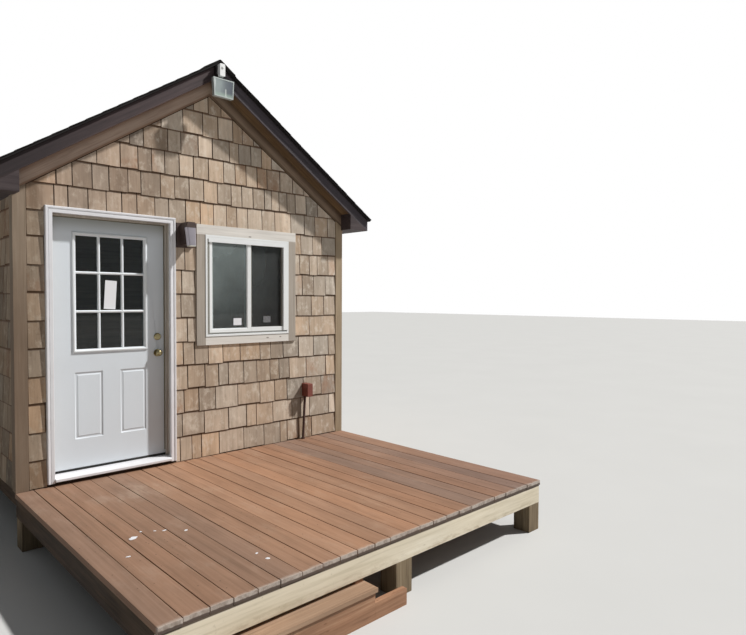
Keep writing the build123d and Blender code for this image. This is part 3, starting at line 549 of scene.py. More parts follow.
timber("window_head_board", ((208, 203, 196), (220, 216, 209), (228, 224, 218)), "X", fine=70.0, rough=0.62,
       blotch=0.05, knots=0.6, fleck=0.25, wear=board_marks)
timber("rake_board", ((52, 43, 45), (66, 56, 58), (78, 68, 69)), "slope", rough=0.65, fleck=0.3,
       wear=rake_wear_and_shade)
timber("soffit_board", ((76, 58, 41), (98, 78, 55), (121, 98, 70)), "slope", rough=0.6, blotch=0.2,
       knots=0.6)
timber("roof_sheathing", SHEATHING, "Y", fine=30.0, length=1.0, rough=0.85, blotch=0.12, knots=0.6,
       wear=skin(1.79, -0.8, 3.145, (26, 23, 24)))
# Outside its own box the wall's sheathing is dark brown: painted shade where it shows in the shingles' gaps
# and under the frieze
timber("wall_sheathing", SHEATHING, "X", fine=30.0, length=1.0, rough=0.85, blotch=0.12, knots=0.6,
       wear=skin(1.545, -0.634, 2.979, (72, 55, 42)))
for axis in "XY":
    timber("dark_board_" + axis.lower(), ((50, 40, 41), (64, 54, 55), (76, 66, 66)), axis, rough=0.65,
           fleck=0.3)
    timber("lumber_" + axis, ((142, 116, 84), (172, 146, 110), (192, 168, 132)), axis, fine=55.0, rough=0.8,
           knots=0.7)
    timber("old_timber_" + axis, ((52, 40, 30), (72, 57, 44), (90, 74, 59)), axis, fine=55.0, rough=0.85,
           blotch=0.2, knots=0.7, fleck=0.4)
    timber("step_timber_" + axis, ((122, 86, 62), (150, 112, 86), (170, 134, 106)), axis, fine=55.0,
           rough=0.8, blotch=0.2, knots=0.6, fleck=0.4)
timber("post_timber", ((92, 78, 60), (118, 103, 81), (136, 121, 99)), "Z", fine=55.0, rough=0.85,
       blotch=0.16, knots=0.6)
timber("cream_rim", ((198, 187, 163), (213, 202, 180), (222, 213, 194)), "X", fine=45.0, length=1.8,
       blotch=0.05, knots=0.6, fleck=0.6, wear=rim_wear_and_shade)
timber("floor_boards", ((146, 116, 80), (176, 146, 106), (196, 168, 128)), "Y", fine=40.0, rough=0.7,
       blotch=0.12)
timber("jamb_paint", ((160, 152, 142), (174, 166, 156), (187, 180, 169)), "Z", rough=0.6, relief=0.0003,
       blotch=0.1)
paint("door_paint", (213, 220, 226), 0.4, 0.04, wear=door_top_shade)
paint("casing_paint", (223, 223, 226), 0.45, 0.14, relief=0.0003)
paint("frosted_glass", (146, 142, 149), 0.14, 0.25, dirt=srgb(104, 100, 106), specular=0.7, wear=lantern_sides_painted_light)
# A pale band at the foot of the lantern's glass: a painted highlight along its lower edge
paint("frosted_rim", (204, 206, 196), 0.1, 0.15, specular=0.8)
for name, tone, rough, grime in (("lite_plastic", (224, 229, 232), 0.35, 0.04),
                                 ("window_vinyl", (233, 236, 236), 0.32, 0.05),
                                 ("grey_seal_and_groove_shade", (128, 127, 120), 0.6, 0.15),
                                 ("gap_shade_seal", (112, 106, 86), 0.7, 0.3),
                                 ("plain_paper", (226, 227, 230), 0.8, 0.02),
                                 ("rubber_seal", (26, 26, 26), 0.7, 0.1),
                                 ("insect_screen", (40, 40, 40), 0.6, 0.1),
                                 ("sensor_plastic", (243, 244, 244), 0.3, 0.03),
                                 ("sensor_eye", (214, 217, 216), 0.25, 0.05)):
    paint(name, tone, rough, grime)
metal("hinge_steel", (176, 172, 162), 0.34, 1.0, (0.3, 0.24, 0.18, 1), 0.25)
for name, tone, rough, metallic, dull, worn in (
    ("brass", (168, 156, 118), 0.27, 1.0, (120, 110, 78), 0.5),
    ("black_metal", (38, 31, 33), 0.5, 0.3, (66, 54, 50), 0.3),
    ("outlet_paint", (124, 66, 54), 0.5, 0.05, (96, 52, 44), 0.5),
    ("conduit_paint", (70, 42, 34), 0.6, 0.1, (48, 32, 28), 0.5),
    ("lamp_metal", (176, 184, 182), 0.4, 0.4, (128, 132, 130), 0.3),
    ("lantern_enamel", (74, 60, 56), 0.5, 0.2, (96, 80, 68), 0.4),
):
    metal(name, tone, rough, metallic, srgb(*dull), worn)
flood_glass("flood_glass")
glass("clear_glass", (150, 158, 156))
glass("window_pane", (176, 186, 184), film_and_reflection=pane_dust_and_reflection)
granules("asphalt_shingle", srgb(24, 22, 22), srgb(42, 39, 38), srgb(72, 68, 64))
masonry("cast_concrete")


BOX_FACES = ((0, 3, 2, 1), (4, 5, 6, 7), (0, 1, 5, 4), (1, 2, 6, 5), (2, 3, 7, 6), (3, 0, 4, 7))
BEVEL_SEGMENTS = 2
BEVEL_ANGLE = math.radians(35.0)
WELD_DISTANCE = 0.00005


def new_object(name, data):
    made = bpy.data.objects.new(name, data)
    bpy.context.scene.collection.objects.link(made)
    return made


def turn_outwards(mesh):
    """Makes the faces of closed solids point outwards."""
    work = bmesh.new()
    work.from_mesh(mesh)
    bmesh.ops.recalc_face_normals(work, faces=work.faces)
    work.to_mesh(mesh)
    work.free()


def soften(piece, width, weld=False):
    """Rounds a piece's sharp edges. weld joins its coincident points first."""
    if weld:
        piece.modifiers.new("weld", "WELD").merge_threshold = WELD_DISTANCE
    bevel = piece.modifiers.new("bevel", "BEVEL")
    bevel.width = width
    bevel.segments = BEVEL_SEGMENTS
    bevel.limit_method = "ANGLE"
    bevel.angle_limit = BEVEL_ANGLE


class Shape:
    """Solids gathered for one object, with each corner's grain coordinates, tint and edge value."""

    def __init__(self, seed):
        self.random = random.Random(seed)
        self.points = []
        self.faces = []
        self.kinds = []
        self.grain = []
        self.tint = []
        self.edge = []

    def solid(self, points, faces, along=UP, across=EAST, tint=(0.5, 0.5), kinds=None, edge=None):
        """Adds one closed solid. kinds is a material number for each face, edge a number for each point."""
        start = len(self.points)
        out = along.cross(across)
        shift = Vector((self.random.uniform(0, 40) for _ in range(3)))
        points = [Vector(point) for point in points]
        self.points += points
        self.faces += [[start + index for index in face] for face in faces]
        self.kinds += kinds or [0] * len(faces)
        self.grain += [Vector((p.dot(along), p.dot(across), p.dot(out))) + shift for p in points]
        self.tint += [(*(*tint, 0.0)[:3], 1.0)] * len(points)
        self.edge += edge or [0.5] * len(points)

    def box(self, low, high):
        (x0, y0, z0), (x1, y1, z1) = low, high
        floor = ((x0, y0), (x1, y0), (x1, y1), (x0, y1))
        self.solid([(x, y, z) for z in (z0, z1) for x, y in floor], BOX_FACES)

    def rings(self, rings, closed=False, **more):
        """Skins a run of point loops. An open run gets a cap at each end."""
        points = [point for ring in rings for point in ring]
        count = len(rings[0])
        faces = []
        for step in range(len(rings) if closed else len(rings) - 1):
            here = step * count
            there = ((step + 1) % len(rings)) * count
            for index in range(count):
                after = (index + 1) % count
                faces.append((here + index, here + after, there + after, there + index))
        if not closed:
            faces.append(tuple(reversed(range(count))))
            faces.append(tuple((len(rings) - 1) * count + index for index in range(count)))
        self.solid(points, faces, **more)

    def build(self, name, body, materials, replaces=(), bevel=0.0, smooth=None):
        """Makes the object with its materials, and gives it to a body."""
        mesh = bpy.data.meshes.new(name)
        mesh.from_pydata(self.points, [], self.faces)
        for material in materials:
            mesh.materials.append(M[material])
        mesh.polygons.foreach_set("material_index", self.kinds)
        corners = [index for face in self.faces for index in face]
        for key, kind, field, rows in (("grain", "FLOAT_VECTOR", "vector", self.grain),
                                       ("tint", "FLOAT_COLOR", "color", self.tint)):
            layer = mesh.attributes.new(key, kind, "CORNER")
            layer.data.foreach_set(field, [value for index in corners for value in rows[index]])
        layer = mesh.attributes.new("edge", "FLOAT", "CORNER")
        layer.data.foreach_set("value", [self.edge[index] for index in corners])
        turn_outwards(mesh)
        piece = new_object(name, mesh)
        if smooth is not None:
            mesh.shade_smooth()
            mesh.set_sharp_from_angle(angle=math.radians(smooth))
        if bevel:
            soften(piece, bevel)
        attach(piece, body)
        if replaces:
            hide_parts(*replaces)
        return piece


def carve(piece, cutters):
    """Cuts closed solids away from a piece, and leaves the result as its mesh."""
    tool = Shape(0)
    for points, faces in cutters:
        tool.solid(points, faces)
    mesh = bpy.data.meshes.new("cutter")
    mesh.from_pydata(tool.points, [], tool.faces)
    turn_outwards(mesh)
    cutter = new_object("cutter", mesh)
    cut = piece.modifiers.new("cut", "BOOLEAN")
    cut.operation = "DIFFERENCE"
    cut.solver = "EXACT"
    cut.object = cutter
    bpy.context.view_layer.update()
    result = bpy.data.meshes.new_from_object(piece.evaluated_get(bpy.context.evaluated_depsgraph_get()))
    piece.modifiers.clear()
    old = piece.data
    piece.data = result
    bpy.data.meshes.remove(old)
    bpy.data.objects.remove(cutter)
    bpy.data.meshes.remove(mesh)


# Camera at the photograph's place, and its lens
PHOTO_WIDTH = 746.0
FOCAL_LENGTH = 594.0
SENSOR_WIDTH = 36.0
CAMERA_PLACE = (-2.6484, -5.5856, 1.8269)
camera_data = bpy.data.cameras.new("camera")
camera = new_object("camera", camera_data)
yaw, pitch, roll = math.radians(-43.558), math.radians(-1.71), math.radians(0.264)
forward = Vector((-math.sin(yaw) * math.cos(pitch), math.cos(yaw) * math.cos(pitch), math.sin(pitch)))
rightwards = Vector((math.cos(yaw), math.sin(yaw), 0))
above = rightwards.cross(forward)
right_rolled = math.cos(roll) * rightwards + math.sin(roll) * above
above_rolled = math.cos(roll) * above - math.sin(roll) * rightwards
turned = Matrix((right_rolled, above_rolled, -forward)).transposed().to_4x4()
camera.matrix_world = Matrix.Translation(CAMERA_PLACE) @ turned
camera_data.sensor_width = SENSOR_WIDTH
camera_data.lens = SENSOR_WIDTH * FOCAL_LENGTH / PHOTO_WIDTH
camera_data.clip_end = 500.0
bpy.context.scene.camera = camera

# Light: one soft sun from the right front, a sky that is dimmer on the left, and a pale floor
SUN_SIDE = math.radians(58.0)
SUN_RISE = math.radians(47.0)
SUN_POWER = 4.35
SUN_SPREAD = math.radians(2.5)
SKY_LEFT, SKY_RIGHT = 0.13, 0.26
FLOOR_REACH = 60.0
sun_data = bpy.data.lights.new("sun", "SUN")
sun_data.energy = SUN_POWER
sun_data.angle = SUN_SPREAD
sun_data.color = (1.0, 0.985, 0.965)
level = math.cos(SUN_RISE)
towards = Vector((math.sin(SUN_SIDE) * level, -math.cos(SUN_SIDE) * level, math.sin(SUN_RISE)))
new_object("sun", sun_data).rotation_euler = towards.to_track_quat("Z", "Y").to_euler()

world = bpy.data.worlds.new("world")
bpy.context.scene.world = world
sky = Graph(world, "ShaderNodeOutputWorld")
rays = sky.add("ShaderNodeLightPath").outputs
sideways = sky.parts(sky.add("ShaderNodeTexCoord").outputs["Generated"])[0]
power = sky.span(sideways, -1.0, 0.4, SKY_LEFT, SKY_RIGHT, smooth=False)
light = sky.fed("ShaderNodeBackground", Color=(0.95, 0.975, 1.0, 1), Strength=power)
backdrop = sky.fed("ShaderNodeBackground", Color=(1.0, 1.0, 1.0, 1), Strength=1.0)
seen = sky.most(rays["Is Camera Ray"], rays["Is Transmission Ray"])
sky.end(sky.fill(sky.add("ShaderNodeMixShader"), seen, light.outputs[0], backdrop.outputs[0]))

ground = material_graph("studio_floor")
mottle = ground.noise(ground.place(), 0.8, 3.0)
ground.shade(ground.mix(mottle, srgb(198, 198, 196), srgb(204, 204, 202)), 0.9)
floor_mesh = bpy.data.meshes.new("studio_floor")
corners = [(FLOOR_REACH * x, FLOOR_REACH * y, 0) for x, y in ((-1, -1), (1, -1), (1, 1), (-1, 1))]
floor_mesh.from_pydata(corners, [], [(0, 1, 2, 3)])
floor_mesh.materials.append(M["studio_floor"])
studio_floor = new_object("studio_floor", floor_mesh)
bpy.context.scene.view_settings.view_transform = "Standard"


# Shingled walls: a shingle's depths, the courses, and the ranges of what differs between shingles
BUTT_DEPTH = 0.0155
TOP_DEPTH = 0.0058
MOST_DEPTH = 0.0168
BUTT_BACK = 0.0066
TOP_BACK = 0.0004
OVERLAP = 0.024
COURSE = 0.2105
COLUMNS = 4
LEVELS = (0.0, 0.06, 0.35, 1.0)
WIDTHS = (0.09, 0.11, 0.12, 0.135, 0.15, 0.15, 0.165, 0.18, 0.21, 0.25)
LEAST_END = 0.06
JOINT_SHIFT, JOINT_MOVE = 0.022, 0.03
NARROW_BASE, NARROW_SHARE = 0.035, 0.58
DROPS, SLANTS, LIFTS = (-0.009, 0.004), (-0.003, 0.003), (-0.0015, 0.0)
SKEWS, BOWS, GAPS = (-0.0012, 0.0012), (-0.001, 0.001), (0.0046, 0.0104)
LOWEST_FIRST, LOWEST = -0.004, -0.012
CUT_BACK, CUT_OUT = -0.002, 0.05
# The shingles stop 6 mm short of the frieze, so the wall's dark face shows there as a painted shadow line
CUT_DEPTH = FRIEZE_DEPTH + 0.006
CORNER_INNER = 1.48
SIDE_FRONT, SIDE_BACK = -0.5675, 2.9125
SOFFIT = 2.578
SHINGLE_TOP = 3.69


class Wall:
    """A wall's own axes: u across to the right as seen from outside, v up, w outwards."""

    def __init__(self, origin, across):
        self.origin = Vector(origin)
        self.across = Vector(across)
        self.out = self.across.cross(UP)

    def at(self, u, v, w):
        return self.origin + self.across * u + UP * v + self.out * w

    def prism(self, outline):
        """A solid through the shingles over an outline of (u, v) pairs, for cutting."""
        points = [self.at(u, v, w) for w in (CUT_BACK, CUT_OUT) for u, v in outline]
        count = len(outline)
        faces = [tuple(reversed(range(count))), tuple(range(count, 2 * count))]
        faces += [(i, (i + 1) % count, (i + 1) % count + count, i + count) for i in range(count)]
        return points, faces

    def slab(self, u0, u1, v0, v1):
        return self.prism([(u0, v0), (u1, v0), (u1, v1), (u0, v1)])

    def above_slope(self, depth):
        """Everything over the roof's slopes at a depth square to them."""
        far, tall = 3.0, 6.0
        foot = roof_height(far, depth)
        peak = roof_height(0, depth)
        return self.prism([(-far, foot), (0, peak), (far, foot), (far, tall), (-far, tall)])


def shingle_skin():
    """Faces of a shingle's two grids of points, and a material number for each: 0 in front, 1 elsewhere."""
    wide = COLUMNS + 1
    rows = len(LEVELS)
    total = wide * (rows + 1)
    skin_faces = []
    for row in range(rows):
        for column in range(COLUMNS):
            i = row * wide + column
            skin_faces.append((0, (i, i + 1, i + wide + 1, i + wide)))
            skin_faces.append((1, (total + i, total + i + wide, total + i + wide + 1, total + i + 1)))
    for column in range(COLUMNS):
        skin_faces.append((1, (column + 1, column, total + column, total + column + 1)))
        i = rows * wide + column
        skin_faces.append((1, (i, i + 1, total + i + 1, total + i)))
    for row in range(rows):
        i = row * wide
        skin_faces.append((1, (i, i + wide, total + i + wide, total + i)))
        i += COLUMNS
        skin_faces.append((1, (i + wide, i, total + i, total + i + wide)))
    return [face for kind, face in skin_faces], [kind for kind, face in skin_faces]


SHINGLE_FACES, SHINGLE_KINDS = shingle_skin()


def shingle(shape, wall, rng, u0, u1, low, exposure, lowest):
    """One split shingle with a slanting butt, skewed, bowed and thinner towards its top."""
    drop_left = max(lowest, rng.uniform(*DROPS))
    drop_right = max(lowest, drop_left + rng.uniform(*SLANTS))
    lift = rng.uniform(*LIFTS)
    skew = rng.uniform(*SKEWS)
    tone = 0.5 * min(1.32, max(0.58, rng.gauss(1.0, 0.175)))
    hue = min(1.0, max(0.0, rng.gauss(0.5, 0.3)))
    blemish = rng.uniform(0.35, 0.7) if rng.random() < 0.1 else 0.0
    bow = rng.uniform(*BOWS)
    outer, inner, edges = [], [], []
    for level in (*LEVELS, 1.0 + OVERLAP / exposure):
        fade = max(0.0, 1 - level)
        back = BUTT_BACK + (TOP_BACK - BUTT_BACK) * min(level, 1.0)
        for column in range(COLUMNS + 1):
            across = column / COLUMNS
            u = u0 + (u1 - u0) * across
            drop = drop_left + (drop_right - drop_left) * across
            v = low + drop * fade + exposure * level
            depth = BUTT_DEPTH + lift + (TOP_DEPTH - BUTT_DEPTH - lift) * min(level, 1.12)
            depth += fade * (skew * (across - 0.5) * 2 + bow * (1 - (2 * across - 1) ** 2))
            outer.append(wall.at(u, v, min(depth, MOST_DEPTH)))
            inner.append(wall.at(u, v, back))
            edges.append(min(1.0, level))
    tint = (tone, hue, blemish)
    shape.solid(outer + inner, SHINGLE_FACES, UP, wall.across, tint, SHINGLE_KINDS, edges * 2)


def course_joints(rng, first, far, below, narrow):
    """Where the shingles of one course meet, clear of the joints of the course below."""
    joints = [first]
    while joints[-1] < far - LEAST_END:
        width = rng.choice(WIDTHS) * rng.uniform(0.9, 1.1)
        if narrow:
            width = NARROW_BASE + NARROW_SHARE * width
        place = joints[-1] + width
        if any(abs(place - old) < JOINT_SHIFT for old in below):
            place += JOINT_MOVE
        joints.append(far if place > far - LEAST_END else place)
    return joints


def shingle_wall(name, wall, span, butts, top, cutters, seed, reach=None, narrow_above=9.0):
    """Courses of split shingles over a span of u, cut round openings and under the slopes."""
    shape = Shape(seed)
    rng = random.Random(seed)
    joints = []
    for row, (low, high) in enumerate(zip(butts, butts[1:] + [top])):
        limit = reach(low) if reach else 9.0
        first, far = max(span[0], -limit), min(span[1], limit)
        if far - first < 0.05:
            continue
        joints = course_joints(rng, first, far, joints, low > narrow_above)
        for near, after in zip(joints, joints[1:]):
            gap = rng.uniform(*GAPS)
            lowest = LOWEST if row else LOWEST_FIRST
            shingle(shape, wall, rng, near + gap / 2, after - gap / 2, low, high - low, lowest)
    carve(shape.build(name, "cabin", ["weathered_shingle", "shingle_butt"]), cutters)


def gable_reach(height):
    """How far out a gable's courses go at a height."""
    return max(0.0, min(CORNER_INNER, (RIDGE - FRIEZE_DEPTH / ALONG - height) / PITCH))


front = Wall((0, FRONT_WALL, 0), (1, 0, 0))
back = Wall((0, BACK_WALL, 0), (-1, 0, 0))
left = Wall((-WALL_X, 0, 0), (0, -1, 0))
right = Wall((WALL_X, 0, 0), (0, 1, 0))

DOOR_CUT = (-1.359, -0.331, 0.0, 2.527)
WINDOW_CUT = (-0.138, 0.946, 1.406, 2.497)
LANTERN_CUT = (-0.325, -0.171, 2.275, 2.49)
OUTLET_CUT = (1.035, 1.097, 0.829, 0.964)
front_cuts = [front.slab(*cut) for cut in (DOOR_CUT, WINDOW_CUT, LANTERN_CUT, OUTLET_CUT)]
front_butts = [0.401] + [0.405 + COURSE * k for k in range(1, 10)] + [2.495, 2.7, 2.9, 3.1, 3.29, 3.495]
gable_span = (-CORNER_INNER, CORNER_INNER)
shingle_wall("front_shingles", front, gable_span, front_butts, SHINGLE_TOP,
             front_cuts + [front.above_slope(CUT_DEPTH)], 11, gable_reach, narrow_above=2.45)
butts = [0.398 + COURSE * k for k in range(16)]
shingle_wall("back_shingles", back, gable_span, butts, SHINGLE_TOP, [back.above_slope(CUT_DEPTH)], 12,
             gable_reach)
for name, wall, span, seed in (("left_shingles", left, (-SIDE_BACK, -SIDE_FRONT), 13),
                               ("right_shingles", right, (SIDE_FRONT, SIDE_BACK), 14)):
    above_soffit = wall.slab(-4, 4, SOFFIT - 0.001, 3.2)
    shingle_wall(name, wall, span, butts[:11], SOFFIT + 0.12, [above_soffit], seed)


# Deck planks, and paint drips on them
DECK_FRONT = -3.0975
DECK_BASE = 0.355
PLANK_STEPS = 14
CROWN, DIP, WANDER = 0.0006, 0.0012, 0.0008
PLANK_JOINTS = (-1.57, -1.45, -1.315, -1.19, -1.055, -0.92, -0.785, -0.645, -0.52, -0.39, -0.255,
                -0.125, 0.005, 0.145, 0.275, 0.41, 0.54, 0.68, 0.83, 0.957, 1.098, 1.24, 1.385, 1.57)
DECK_SIDES = (PLANK_JOINTS[0], PLANK_JOINTS[-1])
WIDE_JOINTS = {0.645, 0.255, 0.41, 0.957, 1.385}
WIDE_GAP = 0.0035
GREY_BOARDS = {4, 5, 17, 18, 21}
PALE_BOARDS = {7, 8, 9, 11, 12}


def plank(shape, x_low, x_high, y_front, tint):
    """One long plank with softly wandering sides and a slightly crowned top."""
    phase = [shape.random.uniform(0, 6.28) for _ in range(4)]
    y_back = FRONT_WALL - 0.0005
    rings = []
    for step in range(PLANK_STEPS + 1):
        along = step / PLANK_STEPS
        shift = WANDER * math.sin(phase[0] + along * 5.0)
        y = y_front + (y_back - y_front) * along
        x0, x1 = x_low + shift, x_high + shift
        top = DECK_TOP - DIP + CROWN * math.sin(phase[1] + along * 7.0)
        rings.append([(x0, y, DECK_BASE), (x1, y, DECK_BASE), (x1, y, top), ((x0 + x1) / 2, y, top + CROWN),
                      (x0, y, top)])
    shape.rings(rings, along=NORTH, across=EAST, tint=tint)


def plank_gap(joint):
    """What a plank leaves free at a joint."""
    if joint in DECK_SIDES:
        return 0.0
    return WIDE_GAP if abs(joint) in WIDE_JOINTS else deck_rng.uniform(0.0012, 0.0026)


deck = Shape(21)
deck_rng = random.Random(5)
for board, (first, second) in enumerate(zip(PLANK_JOINTS, PLANK_JOINTS[1:])):
    gap_left, gap_right = plank_gap(first), plank_gap(second)
    uneven = 0.0 if first in DECK_SIDES or second in DECK_SIDES else deck_rng.uniform(0.0, 0.007)
    grey = board in GREY_BOARDS
    tone = deck_rng.gauss(1.0, 0.03) - (0.06 if grey else 0.0) + (0.06 if board in PALE_BOARDS else 0.0)
    hue = deck_rng.gauss(0.22 if grey else 0.52, 0.12)
    tint = (0.5 * tone, min(0.95, max(0.0, hue)))
    plank(deck, first + gap_left, second - gap_right, DECK_FRONT + uneven, tint)
deck.build("deck_planks", "cabin", ["deck_plank"], ["deck_boards"], bevel=0.0022)

DRIPS = ((-1.263, -2.052, 0.019), (-1.073, -2.062, 0.008), (-0.975, -2.151, 0.009), (-1.12, -2.03, 0.006),
         (-1.19, -1.985, 0.006), (-1.383, -2.29, 0.008), (-0.837, -2.736, 0.007), (-0.828, -2.835, 0.01))
DRIP_LEVELS = ((DECK_TOP - 0.0006, 1.0), (DECK_TOP + 0.0011, 1.0), (DECK_TOP + 0.0015, 0.55))
DRIP_POINTS = 18
drips = Shape(22)
for x, y, size in DRIPS:
    loops = []
    phase = drips.random.uniform(0, 6.28)
    for height, share in DRIP_LEVELS:
        loop = []
        for step in range(DRIP_POINTS):
            angle = 2 * math.pi * step / DRIP_POINTS
            wave = 1 + 0.22 * math.sin(2 * angle + phase) + 0.12 * math.sin(5 * angle - phase)
            far = size * share * wave
            loop.append((x + 1.4 * far * math.cos(angle), y + far * math.sin(angle), height))
        loops.append(loop)
    drips.rings(loops)
drips.build("deck_paint_drips", "cabin", ["casing_paint"], smooth=50)


def mitred(shape, wall, corners, profile, set_back=0.0, closed=True):
    """Skins a profile of (inset, outwards) pairs past corners: u, its step per inset, v and its step."""
    shape.rings([[wall.at(u + u_step * inset, v + v_step * inset, set_back + out) for inset, out in profile]
                 for u, u_step, v, v_step in corners], closed=closed)


def ring(shape, wall, u0, u1, v0, v1, profile, widths=(1, 1, 1, 1), set_back=0.0):
    """A mitred frame round a rectangle. widths scales the inset at the left, right, bottom and top."""
    near, far, low, top = widths
    corners = ((u0, near, v0, low), (u1, -far, v0, low), (u1, -far, v1, -top), (u0, near, v1, -top))
    mitred(shape, wall, corners, profile, set_back)


def bar(shape, wall, start, end, profile):
    """A straight moulding from start to end, each (u, v). profile gives (across, outwards) pairs."""
    first, second = Vector(start), Vector(end)
    run = (second - first).normalized()
    side = Vector((-run.y, run.x))
    shape.rings([[wall.at(*(place + side * across), out) for across, out in profile]
                 for place in (first, second)])


# Door: moulded panels, glazed light with bars, blank note, sweep, brick moulding, and a brown seal strip
# that is partly painted shade in the gap at the jamb
DOOR_X = -0.845
SLAB_FACE = -0.5675
SLAB_THICKNESS = 0.044
PANEL_LOW, PANEL_HIGH = 0.706, 1.24
PANEL_INNER, PANEL_OUTER = 0.069, 0.287
LITE_LOW, LITE_HIGH = 1.395, 2.351
LITE_HALF = 0.2975
LITE_BORDER = 0.027
BAR_HALF = 0.0105
BAR_LOW, BAR_HIGH = 1.722, 2.032
NOTE_HALF, NOTE_TALL, NOTE_HEIGHT = 0.0465, 0.117, 1.8575
NOTE_TILT = math.radians(3.4)
door_plane = Wall((DOOR_X, SLAB_FACE, 0), (1, 0, 0))

panel_profile = [(0.0, -0.0069), (0.0, 0.0002), (0.0012, 0.0002), (0.0025, -0.0008), (0.0095, -0.0058),
                 (0.0112, -0.0064), (0.0132, -0.0062), (0.0245, -0.0008), (0.026, 0.0), (0.026, -0.0069)]
mouldings = Shape(31)
for low, high in ((-PANEL_OUTER, -PANEL_INNER), (PANEL_INNER, PANEL_OUTER)):
    ring(mouldings, door_plane, low, high, PANEL_LOW, PANEL_HIGH, panel_profile)
mouldings.build("door_panel_mouldings", "door", ["door_paint"], smooth=35)

lite_profile = [(0.0, 0.0002), (0.0, 0.006), (0.0028, 0.0102), (0.0075, 0.0119), (0.0135, 0.0117),
                (0.0175, 0.0092), (0.0205, 0.0045), (0.0235, 0.0016), (0.027, 0.0004), (0.027, -0.0158),
                (0.0182, -0.0158), (0.0182, 0.0002)]
bar_profile = [(-BAR_HALF, -0.0158), (-BAR_HALF, -0.005), (-0.007, -0.0004), (-0.003, 0.0012),
               (0.003, 0.0012), (0.007, -0.0004), (BAR_HALF, -0.005), (BAR_HALF, -0.0158)]


def inner(profile):
    """The same profile on the door's inner face."""
    return [(across, -SLAB_THICKNESS - out) for across, out in profile]


lite = Shape(32)
for profile in (lite_profile, inner(lite_profile)):
    ring(lite, door_plane, -LITE_HALF, LITE_HALF, LITE_LOW, LITE_HIGH, profile)
open_half = LITE_HALF - LITE_BORDER
bar_u = open_half / 3 + BAR_HALF / 3
panes = ((LITE_LOW + LITE_BORDER, BAR_LOW - BAR_HALF), (BAR_LOW + BAR_HALF, BAR_HIGH - BAR_HALF),
         (BAR_HIGH + BAR_HALF, LITE_HIGH - LITE_BORDER))
for profile in (bar_profile, inner(bar_profile)):
    for v in (BAR_LOW, BAR_HIGH):
        bar(lite, door_plane, (-open_half, v), (open_half, v), profile)
    for u in (-bar_u, bar_u):
        for low, high in panes:
            bar(lite, door_plane, (u, low), (u, high), profile)
lite.build("door_lite_grille", "door", ["lite_plastic"], ["door_lite_frame"], smooth=40)

note = Shape(33)
note_points = []
for depth in (-0.0154, -0.0158):
    for across, up in ((-1, -1), (1, -1), (1, 1), (-1, 1)):
        u, v = across * NOTE_HALF, up * NOTE_TALL
        turned_u = u * math.cos(NOTE_TILT) + v * math.sin(NOTE_TILT)
        turned_v = v * math.cos(NOTE_TILT) - u * math.sin(NOTE_TILT)
        note_points.append(door_plane.at(turned_u, NOTE_HEIGHT + turned_v, depth))
note_faces = [(0, 1, 2, 3), (7, 6, 5, 4), (0, 4, 5, 1), (1, 5, 6, 2), (2, 6, 7, 3), (3, 7, 4, 0)]
note.solid(note_points, note_faces)
note.build("door_note", "door", ["plain_paper"])

sweep = Shape(35)
sweep.box((-1.3, SLAB_FACE - 0.004, 0.4605), (-0.39, SLAB_FACE + 0.0005, 0.478))
sweep.build("door_bottom_sweep", "door", ["rubber_seal"], bevel=0.001)

casing_profile = [(0.0, 0.0), (0.0, 0.0295), (0.0016, 0.0335), (0.0045, 0.0352), (0.0165, 0.0352),
                  (0.0195, 0.0336), (0.0208, 0.0285), (0.0236, 0.0285), (0.025, 0.0318), (0.0278, 0.0326),
                  (0.0486, 0.0326), (0.05, 0.0314), (0.05, 0.0)]
CASING_LEFT, CASING_RIGHT, CASING_FOOT, CASING_HEAD = -1.357, -0.333, 0.415, 2.525
casing = Shape(34)
mitred(casing, front, ((CASING_LEFT, 1, CASING_FOOT, 0), (CASING_LEFT, 1, CASING_HEAD, -1),
                       (CASING_RIGHT, -1, CASING_HEAD, -1), (CASING_RIGHT, -1, CASING_FOOT, 0)),
       casing_profile, closed=False)
casing.build("door_brickmould", "cabin", ["casing_paint"], ["door_casing"], smooth=30)

DOOR_LEFT, DOOR_RIGHT = -1.307, -0.383
STRIP_LIP, STRIP_HIDDEN = 0.019, 0.006
STRIP_FRONT, STRIP_BACK = -0.5724, -0.5702
STRIP_LOW, STRIP_HIGH = 0.505, 2.463
# Seal strip by the slab's sides and top: its brown is partly the seal's own, partly painted shade in the
# gap at the jamb
strip = Shape(47)
for u0, u1, v0, v1 in ((DOOR_RIGHT - STRIP_LIP, DOOR_RIGHT - STRIP_HIDDEN, STRIP_LOW, STRIP_HIGH),
                       (DOOR_LEFT + STRIP_HIDDEN, DOOR_LEFT + STRIP_LIP, STRIP_LOW, STRIP_HIGH),
                       (DOOR_LEFT + STRIP_HIDDEN, DOOR_RIGHT - STRIP_HIDDEN, 2.456, 2.469)):
    strip.box((u0, STRIP_FRONT, v0), (u1, STRIP_BACK, v1))
strip.build("door_seal_and_gap_shade", "cabin", ["gap_shade_seal"])

# Window: vinyl frame, two sashes with track seals whose grey is partly painted shade in the frame's groove,
# insect screen and two blank stickers
WINDOW = (-0.05, 0.858, 1.485, 2.405)
MEETING = (0.379, 0.429)
SASH_LOW, SASH_HIGH = 1.517, 2.373
SASH_RAILS = (0.042, 0.03)
FIXED_STILE, HEAD_LIP, SILL_RAIL = 0.797, 2.3435, 1.559
SCREEN = (0.4295, 0.7965, 1.5475, 2.355)
SCREEN_EDGE = 0.012
SCREEN_DEPTH = -0.024
WIRE, WIRE_STEP = 0.00045, 0.003
face = Wall((0, FRONT_FACE, 0), (1, 0, 0))


def window_box(shape, u0, u1, v0, v1, out, rear):
    """A box on the window, from rear to out in front of the wall's face."""
    shape.box((u0, FRONT_FACE - out, v0), (u1, FRONT_FACE - rear, v1))


